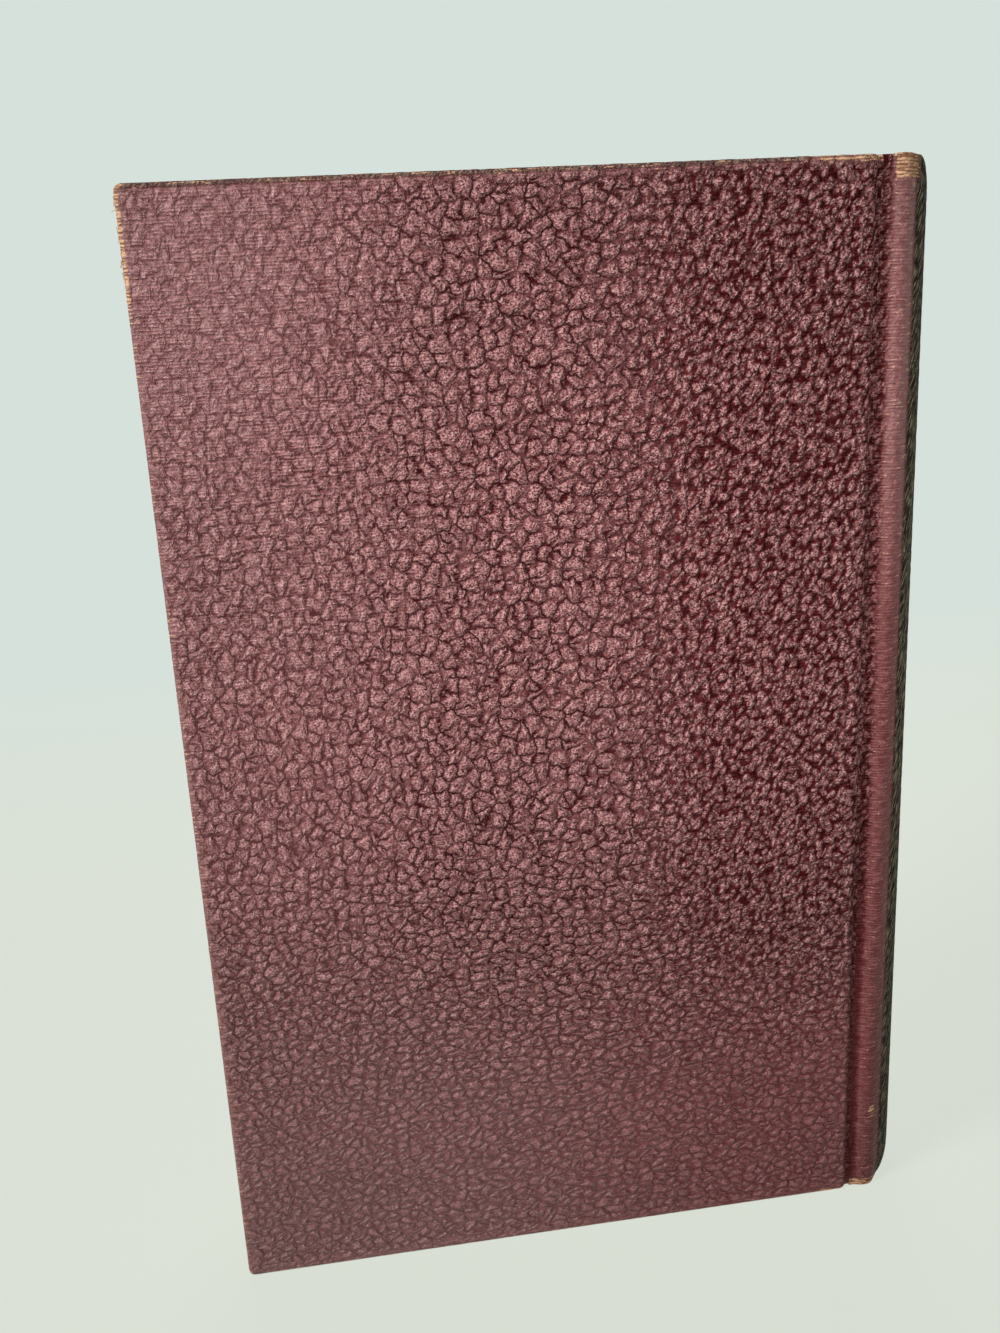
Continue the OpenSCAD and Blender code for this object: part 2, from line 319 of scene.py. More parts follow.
def sheet_grid(columns, rows, place):
    """A grid of columns by rows points, each moved to place(column, row) and marked with its cell."""
    bm = bmesh.new()
    bmesh.ops.create_grid(bm, x_segments=columns - 1, y_segments=rows - 1, size=0.5)
    cell = bm.verts.layers.int.new("cell")
    bm.verts.layers.float.new("turned")
    for v in bm.verts:
        column = round((v.co.x + 0.5) * (columns - 1))
        row = round((v.co.y + 0.5) * (rows - 1))
        v[cell] = row * columns + column
        v.co = place(column, row)
    return bm, cell


def wrap_border(bm, edges, rings):
    """Extrudes a border once for each ring, given as the length of cloth past the border and a
    function from a vertex to its new point."""
    turned = bm.verts.layers.float["turned"]
    for length, place in rings:
        made = bmesh.ops.extrude_edge_only(bm, edges=edges)["geom"]
        verts = {g for g in made if isinstance(g, bmesh.types.BMVert)}
        edges = [g for g in made if isinstance(g, bmesh.types.BMEdge) and set(g.verts) <= verts]
        for v in verts:
            v.co = place(v)
            v[turned] = length


def finish_mesh(bm, name, outward):
    """A smooth object from a bmesh. outward gives a face's outer side, to tell which way they point."""
    bmesh.ops.recalc_face_normals(bm, faces=bm.faces)
    bm.normal_update()
    agreeing = sum(1 if f.normal.dot(outward(f)) > 0 else -1 for f in bm.faces)
    if agreeing < 0:
        bmesh.ops.reverse_faces(bm, faces=bm.faces)
    for face in bm.faces:
        face.smooth = True
    mesh = bpy.data.meshes.new(name)
    bm.to_mesh(mesh)
    bm.free()
    piece = bpy.data.objects.new(name, mesh)
    bpy.context.scene.collection.objects.link(piece)
    return piece


def cover_masks(x, z):
    """The masks at a point of a cover's cloth. Distances are in millimetres: from the fore-edge,
    the joint, the tail and the head, from the nearest of the free edges, and from the corners."""
    fore = (x - FORE_X) / MM
    joint = (JOINT_X - x) / MM
    tail = z / MM
    head = (BOOK_H - z) / MM
    edge = min(fore, tail, head)
    head_corner = math.hypot(fore, head)
    tail_corner = math.hypot(fore, tail)

    # The grain is shallow near the tail and the fore-edge, and pressed flat on the edges
    off_edge = smooth(0.3, 2.0, edge)
    deep = 0.28 + 0.27 * smooth(20, 65, tail) * smooth(20, 60, head_corner)
    deep += 0.38 * smooth(14, 58, fore) * smooth(25, 80, tail)
    lower_joint_side = smooth(30, 105, fore) * smooth(75, 25, tail)
    return {
        "relief": deep * (0.35 + 0.65 * off_edge),
        "weave": max(
            0.2 + 0.8 * smooth(85, 150, tail) * smooth(62, 25, fore),
            0.7 * smooth(4, 0, joint),
            0.8 * smooth(3, 1, edge),
        ),
        # Every edge a little, the fore-edge under its head corner, both corners, then head and
        # tail beside the joint
        "worn": max(
            0.34 * smooth(1.6, 0.2, edge),
            smooth(1.0, 0.4, fore) * smooth(24, 12, head),
            0.9 * smooth(2.0, 0.7, head_corner),
            0.8 * smooth(2.2, 0.8, tail_corner),
            0.7 * smooth(12, 8, joint) * smooth(1.6, 0.6, head),
            0.6 * smooth(8, 4, joint) * smooth(1.2, 0.5, tail),
        ),
        # Painted shade on the joint's edge and groove, and on the head edge short of the joint
        "soil": max(
            0.45 * smooth(0.6, -0.8, joint) * (1 - 0.5 * smooth(60, 110, tail)),
            smooth(1.1, 0.6, head) * smooth(9, 13, joint),
        ),
        "mounds": smooth(88, 40, tail) * (1 - 0.3 * smooth(70, 105, fore)) * smooth(0.5, 3.0, edge),
        "knobs": smooth(58, 94, fore) * smooth(25, 75, tail) * off_edge,
        # Painted shade, darker and duller towards the lower joint side
        "dull": lower_joint_side,
    }


def spine_masks(z, along):
    """The masks at a point of the spine's cloth, from its height and its distance past the groove.
    Here too distances are turned to millimetres."""
    past = along / MM
    tail = z / MM
    head = (BOOK_H - z) / MM
    crest = smooth(1.2, 2.2, past) * smooth(7.2, 5.4, past)
    back = smooth(5.8, 7.2, past)
    slope = smooth(2.6, 0.9, past) * smooth(30, 90, tail)
    upper = 0.75 + 0.25 * smooth(105, 150, tail)
    return {
        "relief": max(0.30 * back, 0.7 * slope),
        "weave": 0.5 + 0.5 * crest,
        # The crest, its far side, the head under the cap, both lips, the tail, and a rubbed spot. On the
        # crest the fading is partly a painted sheen
        "worn": max(
            crest * (0.21 + 0.05 * math.cos(2.6 * past)) * upper,
            0.27 * smooth(4.9, 5.6, past) * smooth(6.9, 6.2, past) * upper,
            smooth(4.6, 2.8, head) * smooth(1.8, 2.6, past) * smooth(9.5, 6.5, past),
            0.7 * smooth(1.0, 0.4, min(tail, head)) * smooth(1.0, 2.0, past),
            0.7 * smooth(2.2, 1.0, tail) * smooth(6.5, 5.0, past),
            0.62 * smooth(1.3, 0.4, math.hypot(past - 4.2, 0.6 * (tail - 17.0))),
        ),
        # The back, dark cloth with painted shade; painted shade in the groove; and the crest, darker except
        # near the head
        "soil": max(
            back,
            0.55 * smooth(2.4, 0.6, past) * (1 - 0.5 * smooth(60, 110, tail)),
            0.3 * crest * smooth(155, 110, tail),
        ),
        "mounds": 0.0,
        "knobs": slope,
        # Painted shade, darker and duller towards the tail
        "dull": 1 - 0.6 * smooth(90, 150, tail),
    }


def pressed(place):
    """The point of the grain's pattern at a point of the cloth, in millimetres. Under a level the
    pattern is pressed flatter the lower it lies, so that its pebbles are wider than tall, and they
    are a little narrower towards the fore-edge."""
    x, z, _ = place
    level, softness = 85.0, 45.0
    under = max(level - z, 0.0)
    crowding = 1 + 0.12 * smooth(90, 20, x)
    return x * crowding, z - 0.75 * under ** 2 / (under + softness), 0.0


def mark_cloth(piece, columns, mark):
    """Stores at each point of a cloth piece its unrolled place in millimetres, the grain's place
    and the masks. mark gives the unrolled place and the masks from the point, its column and row
    in the grid, and the length of cloth past the grid's border."""
    cells = piece.data.attributes["cell"].data
    lengths = piece.data.attributes["turned"].data
    marks = [mark(vertex.co, cell.value % columns, cell.value // columns, length.value)
             for vertex, cell, length in zip(piece.data.vertices, cells, lengths)]
    sheet = piece.data.attributes.new("sheet", "FLOAT_VECTOR", "POINT")
    sheet.data.foreach_set("vector", [c for place, masks in marks for c in place])
    grain = piece.data.attributes.new("pressed", "FLOAT_VECTOR", "POINT")
    grain.data.foreach_set("vector", [c for place, masks in marks for c in pressed(place)])
    for name in MASKS:
        mask = piece.data.attributes.new(name, "FLOAT", "POINT")
        mask.data.foreach_set("value", [masks[name] for place, masks in marks])
    for spent in ("cell", "turned"):
        piece.data.attributes.remove(piece.data.attributes[spent])


def cover_cloth(name, side):
    """The cloth of one cover, side -1 at the back and 1 at the front: its face, the joint's edge
    and groove, and the edges turned in over the board."""
    case = bpy.context.scene.book_case
    r = case.edge_r
    corner = case.corner_r - r
    corner_count = 3
    corner_steps = [corner * i / corner_count for i in range(corner_count)]
    face_end = JOINT_X + case.joint_reach - case.joint_r
    face_steps = [FORE_X + r + c for c in corner_steps]
    face_steps += even_steps(FORE_X + r + corner, face_end, case.mesh_step)
    plan = cover_plan(case, face_steps)
    along = [r + length for length in lengths_along(plan)]
    flat_h = BOOK_H - 2 * r
    heights = corner_steps + even_steps(corner, flat_h - corner, case.mesh_step)
    heights += [flat_h - c for c in reversed(corner_steps)]
    columns, rows = len(plan), len(heights)

    # Each station's inner side, how far it ends short of head and tail, and its edges' radius
    joint_start, joint_end = JOINT_X - 0.2 * MM, HINGE.x - 0.4 * MM
    joint_share = [smooth(joint_start, joint_end, p[0]) for p in plan]
    joint_inner = FACE_OUT - case.groove_d - case.joint_t
    lifted = [min(1.0, (FACE_OUT - p[1]) / case.groove_d) for p in plan]
    inner = [INNER_OUT + (joint_inner - INNER_OUT) * share for share in joint_share]
    dip = [case.joint_dip * share for share in joint_share]
    round_r = [min(r, (p[1] - low) / 2) for p, low in zip(plan, inner)]

    def corner_share(column, row):
        """How far a point lies into a corner's round, along x and z, 1 at the edge."""
        a = 1 - (plan[column][0] - FORE_X - r) / corner
        b = 1 - min(heights[row], flat_h - heights[row]) / corner
        if a > 0 and b > 0:
            return a * math.sqrt(1 - b * b / 2), b * math.sqrt(1 - a * a / 2)
        return max(a, 0.0), max(b, 0.0)

    def base(column, row):
        x = plan[column][0]
        low = dip[column] + round_r[column]
        a, b = corner_share(column, row)
        from_end = min(heights[row], flat_h - heights[row])
        if a > 0:
            x = FORE_X + r + corner * (1 - a)
            if b > 0:
                from_end = corner * (1 - b)
        stretch = (BOOK_H - 2 * low) / flat_h
        z = low + stretch * from_end
        return x, z if heights[row] < flat_h / 2 else BOOK_H - z

    def outer(column, z):
        """How far out the cloth lies at a station, with the groove's lift at head and tail."""
        return plan[column][1] + joint_lift(z) * joint_share[column] * lifted[column]

    def face(column, row):
        x, z = base(column, row)
        return x, side * outer(column, z), z

    bm, cell = sheet_grid(columns, rows, face)

    def at(v):
        return v[cell] % columns, v[cell] // columns

    def direction(column, row):
        """Which way the cloth leaves the face at its border, along x and z."""
        a, b = corner_share(column, row)
        up = -1 if row < rows / 2 else 1
        along_x = -a if column == 0 or b > 0 else 0.0
        along_z = up * b if row in (0, rows - 1) or a > 0 else 0.0
        return Vector((along_x, along_z)).normalized()

    def turned(over, depth, depth_r):
        """A ring that lies over the edge by a share of its radius, and down by shares of the
        whole depth and of that radius."""
        def place(v):
            column, row = at(v)
            x, z = base(column, row)
            away = direction(column, row) * over * round_r[column]
            whole = outer(column, z) - inner[column]
            out = outer(column, z) - depth * whole - depth_r * round_r[column]
            return x + away.x, side * out, z + away.y
        return place

    def inside(inset):
        """A ring on the turned-in cloth, which is gathered near the corners."""
        reach = 3 * case.frame_w

        def drawn_in(distance, start):
            if distance >= reach:
                return distance
            return inset + (distance - start) * (reach - inset) / (reach - start)

        def place(v):
            column, row = at(v)
            x, z = base(column, row)
            from_end = drawn_in(min(z, BOOK_H - z), dip[column] + round_r[column])
            from_fore = drawn_in(x - FORE_X, r)
            z = from_end if row < rows / 2 else BOOK_H - from_end
            return FORE_X + from_fore, side * inner[column], z
        return place

    steps = 4
    inset_step = 0.8 * MM
    wall = FACE_OUT - INNER_OUT - 2 * r
    rings = []
    for i in range(1, steps + 1):
        turn = math.pi / 2 * i / steps
        rings.append((r * turn, turned(math.sin(turn), 0.0, 1 - math.cos(turn))))
    length = r * math.pi / 2
    for share in (1 / 3, 2 / 3):
        rings.append((length + share * wall, turned(1.0, share, 1 - 2 * share)))
    length += wall
    for i in range(steps + 1):
        turn = math.pi / 2 * i / steps
        rings.append((length + r * turn, turned(math.cos(turn), 1.0, math.sin(turn) - 1)))
    length += r * math.pi / 2
    for inset in even_steps(r, case.frame_w, inset_step)[1:]:
        rings.append((length + inset - r, inside(inset)))

    border = [e for e in bm.edges if e.is_boundary and not all(at(v)[0] == columns - 1 for v in e.verts)]
    wrap_border(bm, border, rings)
    middle = Vector(((FORE_X + JOINT_X) / 2, side * (FACE_OUT + INNER_OUT) / 2, BOOK_H / 2))
    piece = finish_mesh(bm, name, lambda f: f.calc_center_median() - middle)

    cut_x, cut_z = FRONT_CUT if side > 0 else (0.0, 0.0)

    def mark(co, column, row, length):
        z = base(column, row)[1]
        away = direction(column, row) * length
        place = ((along[column] + away.x) / MM + cut_x, (z + away.y) / MM + cut_z, 0.0)
        return place, cover_masks(co.x, co.z)

    mark_cloth(piece, columns, mark)
    return piece


def spine_cloth(name):
    """The cloth of both joints' ridges and the spine, with its caps curled over head and tail."""
    case = bpy.context.scene.book_case
    half = spine_half_plan(case)
    along_half = lengths_along(half)
    plan = half + [(x, -out, nx, -nout) for x, out, nx, nout in reversed(half[:-1])]
    plan = [(x, -out, nx, -nout) for x, out, nx, nout in plan]
    from_groove = along_half + list(reversed(along_half[:-1]))
    across = [length if i < len(half) else 2 * along_half[-1] - length
              for i, length in enumerate(from_groove)]
    slope_start = HINGE.x + 0.5 * MM
    bend = [smooth(slope_start, slope_start + case.slope_w, p[0]) for p in plan]
    # The caps curl in a little over the ridges, and fully over the back
    ridge_end, back_start, ridge_curl = 4.5 * MM, 8.5 * MM, 0.25
    curled = [b * (ridge_curl + (1 - ridge_curl) * smooth(ridge_end, back_start, length))
              for b, length in zip(bend, from_groove)]
    steps = 10
    curl_steps = [math.pi / 2 * i / steps for i in range(steps)]
    straight = even_steps(case.cap_h, BOOK_H - case.cap_h, case.spine_step)
    # Each row's height and its share of the cap's curl, from tail to head
    curls = [(case.cap_h * (1 - math.cos(t)), 1 - math.sin(t)) for t in curl_steps]
    levels = curls + [(z, 0.0) for z in straight] + [(BOOK_H - z, c) for z, c in reversed(curls)]
    columns, rows = len(plan), len(levels)

    def point(column, row, inset_share, drop):
        """A point of the cloth, in from its outer side by a share of what the curl leaves."""
        x, y, nx, ny = plan[column]
        z, curl = levels[row]
        y += math.copysign(joint_lift(z) * (1 - bend[column]), y)
        dip = case.joint_dip * (1 - bend[column])
        z = dip + z * (BOOK_H - 2 * dip) / BOOK_H
        lean = case.cap_curl * curled[column] * curl
        thick = case.joint_t + (case.spine_t - case.joint_t) * bend[column]
        inset = lean + (thick - lean) * inset_share
        return x - nx * inset, y - ny * inset, z + (drop if row < rows / 2 else -drop)

    bm, cell = sheet_grid(columns, rows, lambda column, row: point(column, row, 0.0, 0.0))

    def ring(inset_share, drop):
        return lambda v: point(v[cell] % columns, v[cell] // columns, inset_share, drop)

    # Each ring round a lip: its share of the way through the thickness, and how far in from the
    # lip it lies
    lips = [(0.45, 0.0), (0.8, 0.06 * MM), (1.0, 0.25 * MM)]
    lips += [(1.0, drop * MM) for drop in (0.8, 1.6, 2.8, 4.4, 6.4, 9.0, 12.0)]
    rings = [(CLOTH_T * share + drop, ring(share, drop)) for share, drop in lips]

    def at_end(edge):
        return edge.is_boundary and len({v[cell] // columns for v in edge.verts}) == 1

    wrap_border(bm, [e for e in bm.edges if at_end(e)], rings)
    middle = spine_circle(case)[0]

    def outward(face):
        spot = face.calc_center_median()
        return Vector((spot.x - middle, spot.y, 0.0))

    def mark(co, column, row, length):
        past = length if row > rows / 2 else -length
        place = (across[column] / MM + SPINE_CUT, (co.z + past) / MM, 0.0)
        return place, spine_masks(co.z, from_groove[column])

    piece = finish_mesh(bm, name, outward)
    mark_cloth(piece, columns, mark)
    return piece


def closed_grid(columns, rows, place):
    """A grid whose columns run round a loop, with its cells counted on one column more."""
    bm, cell = sheet_grid(columns + 1, rows, lambda column, row: place(column % columns, row))
    bmesh.ops.remove_doubles(bm, verts=bm.verts, dist=1e-7)
    return bm, cell


def leaves(name):
    """The leaves as one block: a layer for each line of the edges, bent out over the shoulders."""
    paper = bpy.context.scene.book_paper
    trim = random.Random(7)
    back_mid = leaf_high.x - paper.back_r
    fore_mid = leaf_low.x - math.sqrt(paper.back_r ** 2 - PAGES_OUT ** 2)
    back_angle = math.asin(PAGES_OUT / paper.back_r)
    curve_end = Vector((back_mid + paper.back_r * math.cos(back_angle), PAGES_OUT))
    root_x = fly_high.x
    # The layers past this share of the thickness bend out to the shoulder's tip
    round_share = 0.8
    # Layers inside a gathering lie this much more evenly than its first one
    calm = 0.35
    end_trim = 0.7
    flat_steps, bent_steps = 5, 9
    shares = [1 - (1 - i / bent_steps) ** 2 for i in range(bent_steps + 1)]
    side = flat_steps + len(shares)
    columns = 2 * side
    layers = []
    for i in range(paper.layers):
        w = 2 * i / (paper.layers - 1) - 1
        loose = paper.uneven * (calm if i % paper.gathering else 1.0)
        cut = [trim.random() * loose for _ in range(3)]
        start = fore_mid + math.sqrt(paper.back_r ** 2 - (PAGES_OUT * w) ** 2)
        if abs(w) < round_share:
            angle = w / round_share * back_angle
            end = Vector((back_mid + paper.back_r * math.cos(angle), paper.back_r * math.sin(angle)))
        else:
            t = (abs(w) - round_share) / (1 - round_share)
            tip = Vector((paper.tip_x + paper.tip_w * (1 - smooth(0.9, 1.0, t)), -leaf_low.y))
            end = curve_end.lerp(tip, t)
            end.y = math.copysign(end.y, w)
        root = Vector((root_x, PAGES_OUT * w))
        bend = Vector((root.x + 0.35 * (end.x - root.x) * (1 - abs(w) ** 8), root.y))
        path = [Vector((start + cut[0] + (root_x - start) * j / flat_steps, root.y))
                for j in range(flat_steps)]
        path += [root * (1 - t) ** 2 + bend * 2 * t * (1 - t) + end * t ** 2 for t in shares]
        layers.append((path, leaf_low.z + cut[1] * end_trim, leaf_high.z - cut[2] * end_trim))

    def place(column, row):
        path, low, high = layers[row]
        if column < side:
            return (*path[column], high)
        return (*path[columns - 1 - column], low)

    bm, cell = closed_grid(columns, paper.layers, place)
    for row in (0, paper.layers - 1):
        rim = [e for e in bm.edges if e.is_boundary and {v[cell] // (columns + 1) for v in e.verts} == {row}]
        chains = [e for e in rim if len({v.co.z > BOOK_H / 2 for v in e.verts}) == 1]
        bmesh.ops.bridge_loops(bm, edges=chains)
    middle = Vector(((leaf_low.x + leaf_high.x) / 2, 0.0, BOOK_H / 2))
    half = (leaf_high - leaf_low) / 2

    def outward(face):
        way = face.calc_center_median() - middle
        return Vector((way.x / half.x ** 2, way.y / half.y ** 2, way.z / half.z ** 2))

    layer = bm.verts.layers.float.new("leaf")
    for v in bm.verts:
        v[layer] = v[cell] // (columns + 1)
    piece = finish_mesh(bm, name, outward)
    for face in piece.data.polygons:
        face.use_smooth = False
    return piece


def fold(name, side):
    """The fold of an endpaper in the joint, from the flyleaf's root to the pastedown's edge."""
    paper = bpy.context.scene.book_paper
    half_t = paper.sheet_t / 2
    start = Vector((fly_high.x, PAGES_OUT + half_t))
    end = Vector((paste_high.x, -paste_high.y + half_t))
    reach = Vector((paper.fold_x, 2 * paper.fold_out - (start.y + end.y) / 2))
    across, up = 14, 24
    shares = [i / across for i in range(across + 1)]
    path = [start * (1 - t) ** 2 + reach * 2 * t * (1 - t) + end * t ** 2 for t in shares]

    def place(column, row):
        z = fly_low.z + (fly_high.z - fly_low.z) * column / up
        return path[row].x, side * path[row].y, z

    bm = sheet_grid(up + 1, across + 1, place)[0]
    bmesh.ops.solidify(bm, geom=bm.faces, thickness=paper.sheet_t)
    inner = Vector((paper.fold_x, side * PAGES_OUT, BOOK_H / 2))
    return finish_mesh(bm, name, lambda f: f.calc_center_median() - inner)


def band(name, up):
    """A headband, up 1 at the head and -1 at the tail: a strip glued to the back of the leaves,
    with a thread-wound bead that lies on their edges."""
    paper = bpy.context.scene.book_paper
    spin_x = leaf_high.x - paper.back_r
    outer = strip_high.x - spin_x
    inner = outer - paper.band_t
    reach = math.asin(PAGES_OUT / paper.back_r)
    edge_z = leaf_high.z if up > 0 else leaf_low.z
    top_z = edge_z + up * paper.bead_r / 2
    root_z = strip_low.z if up > 0 else BOOK_H - strip_low.z
    strip_steps, bead_steps, thread_steps = 6, 16, 6
    bead_turn = math.radians(210)
    # Each point's distance from the middle, its height, and 1 where thread is wound over it
    profile = [(inner, root_z, 0.0)]
    profile += [(outer, root_z + (top_z - root_z) * i / strip_steps, 0.0) for i in range(strip_steps)]
    for i in range(bead_steps + 1):
        turn = bead_turn * i / bead_steps
        profile.append((outer - paper.bead_r + paper.bead_r * math.cos(turn),
                        top_z + up * paper.bead_r * math.sin(turn), 1.0))
    profile.append((inner, edge_z, 0.0))
    rows = round(2 * reach * outer / paper.thread * thread_steps)
    furrow = 0.06 * MM

    def place(column, row):
        ray, z, wound = profile[column]
        angle = -reach + 2 * reach * row / rows
        lean = math.pi * row / thread_steps + 0.25 * column
        sink = furrow * wound * abs(math.cos(lean))
        return spin_x + (ray - sink) * math.cos(angle), (ray - sink) * math.sin(angle), z - up * sink

    bm = closed_grid(len(profile), rows + 1, place)[0]
    bmesh.ops.holes_fill(bm, edges=[e for e in bm.edges if e.is_boundary])

    def outward(face):
        spot = face.calc_center_median()
        ray = Vector((spot.x - spin_x, spot.y, 0.0))
        past = ray.length - (outer + inner) / 2
        return ray.normalized() * past + Vector((0.0, 0.0, spot.z - top_z))

    return finish_mesh(bm, name, outward)


def tubes(name, paths, radius):
    """Fine threads in one piece. Each path is a list of points, and a thread thins to its ends."""
    sides = 5
    whole = bmesh.new()
    for path in paths:
        last = len(path) - 1

        def place(column, row):
            along = (path[min(row + 1, last)] - path[max(row - 1, 0)]).normalized()
            side = along.orthogonal().normalized()
            turn = Matrix.Rotation(math.tau * column / sides, 3, along)
            thin = radius * (0.35 + 0.65 * math.sin(math.pi * row / last))
            return path[row] + turn @ side * thin

        bm = closed_grid(sides, len(path), place)[0]
        bmesh.ops.holes_fill(bm, edges=[e for e in bm.edges if e.is_boundary])
        part = bpy.data.meshes.new("thread")
        bm.to_mesh(part)
        bm.free()
        whole.from_mesh(part)
        bpy.data.meshes.remove(part)
    return finish_mesh(whole, name, lambda f: f.normal)


def frayed_threads():
    """Paths of the broken threads that stand off the worn fore-edge near the head."""
    luck = random.Random(11)
    threads, steps = 36, 5
    paths = []
    for _ in range(threads):
        start = Vector((FORE_X + luck.uniform(-0.05, 0.25) * MM, -FACE_OUT + luck.uniform(0.2, 2.4) * MM,
                        BOOK_H - luck.triangular(0.1, 17.0, 2.0) * MM))
        way = Vector((luck.uniform(-0.22, 0.1), luck.uniform(-0.3, 0.2), luck.uniform(-1.0, 0.8)))
        reach = way.normalized() * luck.uniform(0.4, 1.5) * MM
        sag = Vector((luck.uniform(-0.2, 0.2), luck.uniform(-0.2, 0.2), 0.0)) * MM
        paths.append([start + reach * t / steps + sag * math.sin(0.6 * t) for t in range(steps + 1)])
    return paths


def add(tree, kind, inputs=None, **settings):
    """Adds a node with its settings, and fills or links its inputs by name or number."""
    node = tree.nodes.new(kind)
    for key, value in settings.items():
        setattr(node, key, value)
    for key, value in (inputs or {}).items():
        if isinstance(value, bpy.types.Node):
            value = value.outputs[0]
        if isinstance(value, bpy.types.NodeSocket):
            tree.links.new(value, node.inputs[key])
        else:
            node.inputs[key].default_value = value
    return node


def new_material(name, **shader):
    """A material with one Principled shader, whose fixed values are set on the shader itself."""
    material = bpy.data.materials.new(name)
    material.use_nodes = True
    tree = material.node_tree
    tree.nodes.clear()
    surface = add(tree, "ShaderNodeBsdfPrincipled", shader)
    add(tree, "ShaderNodeOutputMaterial", {"Surface": surface})
    return material, tree, surface


def seen_rays(tree):
    """1 for the rays that show a background: from the camera, off gloss or through glass."""
    seen = add(tree, "ShaderNodeLightPath").outputs
    ray = seen["Is Camera Ray"]
    for way in ("Is Glossy Ray", "Is Transmission Ray"):
        ray = add(tree, "ShaderNodeMath", {0: ray, 1: seen[way]}, operation="MAXIMUM")
    return ray


def dress(piece, material):
    """Gives a piece, or a node of the frame, one material."""
    piece.data.materials.clear()
    piece.data.materials.append(material)


def grain_nodes(tree, place):
    """The embossed grain, the same in mesh and material. place is the point of the grain's pattern
    in millimetres. Gives the pebbles' crowns, the cracks round them, the chips that finer cracks
    part from some of them, the long creases, and the low mounds that show where the grain is
    shallow. The cells are bent by a drift about 2.5 mm wide and a jag of 0.6 mm."""
    grain = bpy.context.scene.book_grain
    drift = add(tree, "ShaderNodeTexNoise", {"Vector": place, "Scale": 0.40, "Detail": 1.0},
                noise_dimensions="2D")
    jag = add(tree, "ShaderNodeTexNoise", {"Vector": place, "Scale": 1.7, "Detail": 2.5},
              noise_dimensions="2D")
    bent = place
    for bending, width in ((drift, 2.2), (jag, 0.8)):
        bent = add(tree, "ShaderNodeVectorMath",
                   {0: bending.outputs["Color"], 1: (width, width, 0.0), 2: bent}, operation="MULTIPLY_ADD")
    spun = add(tree, "ShaderNodeVectorRotate",
               {"Vector": bent, "Axis": (0.0, 0.0, 1.0), "Angle": math.radians(18)},
               rotation_type="AXIS_ANGLE")
    drawn = add(tree, "ShaderNodeVectorMath", {0: spun, 1: (1.0, 0.36, 1.0)}, operation="MULTIPLY")
    pebble, small, long = [
        add(tree, "ShaderNodeTexVoronoi", {"Vector": vector, "Scale": MM / size, "Randomness": 1.0},
            voronoi_dimensions="2D", feature="DISTANCE_TO_EDGE")
        for vector, size in ((bent, grain.pebble), (bent, grain.chip), (drawn, grain.crease))]
    crown, crack, chip, crease, mound = [
        add(tree, "ShaderNodeMapRange", {0: cells, 1: near, 2: far, 3: low, 4: high},
            interpolation_type="SMOOTHSTEP")
        for cells, near, far, low, high in (
            (pebble, 0.0, 0.24, 0.0, 1.0), (pebble, 0.02, 0.12, 1.0, 0.0), (small, 0.0, 0.13, 1.0, 0.0),
            (long, 0.0, 0.035, 0.6, 0.0), (pebble, 0.0, 0.42, 0.0, 1.0))]
    firm = add(tree, "ShaderNodeMapRange", {0: drift, 1: 0.35, 2: 0.55, 3: 0.4, 4: 1.0})
    crack = add(tree, "ShaderNodeMath", {0: crack, 1: firm}, operation="MULTIPLY")
    parting = add(tree, "ShaderNodeMapRange", {0: jag, 1: 0.44, 2: 0.60, 3: 0.0, 4: 1.0})
    chip = add(tree, "ShaderNodeMath", {0: chip, 1: parting}, operation="MULTIPLY")
    return SimpleNamespace(crown=crown, crack=crack, chip=chip, crease=crease, mound=mound)


def press_grain(piece):
    """Sinks the cracks of the grain into a cloth piece's mesh."""
    tree = bpy.data.node_groups.new("pressed_grain", "GeometryNodeTree")
    for way in ("INPUT", "OUTPUT"):
        tree.interface.new_socket("Geometry", in_out=way, socket_type="NodeSocketGeometry")
    source = add(tree, "NodeGroupInput")
    place = add(tree, "GeometryNodeInputNamedAttribute", {"Name": "pressed"}, data_type="FLOAT_VECTOR")
    depth = add(tree, "GeometryNodeInputNamedAttribute", {"Name": "relief"}, data_type="FLOAT")
    marks = grain_nodes(tree, place)
    level = add(tree, "ShaderNodeMath", {0: marks.crown, 1: 1.0}, operation="SUBTRACT")
    for cut, share in ((marks.chip, -0.4), (marks.crease, -0.5)):
        level = add(tree, "ShaderNodeMath", {0: cut, 1: share, 2: level}, operation="MULTIPLY_ADD")
    for size in (depth, bpy.context.scene.book_grain.relief):
        level = add(tree, "ShaderNodeMath", {0: level, 1: size}, operation="MULTIPLY")
    normal = add(tree, "GeometryNodeInputNormal")
    offset = add(tree, "ShaderNodeVectorMath", {0: normal, "Scale": level}, operation="SCALE")
    moved = add(tree, "GeometryNodeSetPosition", {"Geometry": source, "Offset": offset})
    add(tree, "NodeGroupOutput", {0: moved})
    modifier = piece.modifiers.new("pressed_grain", "NODES")
    modifier.node_group = tree
    graph = bpy.context.evaluated_depsgraph_get()
    piece_pressed = bpy.data.meshes.new_from_object(piece.evaluated_get(graph), depsgraph=graph,
                                                    preserve_all_data_layers=True)
    piece.modifiers.clear()
    piece.data = piece_pressed


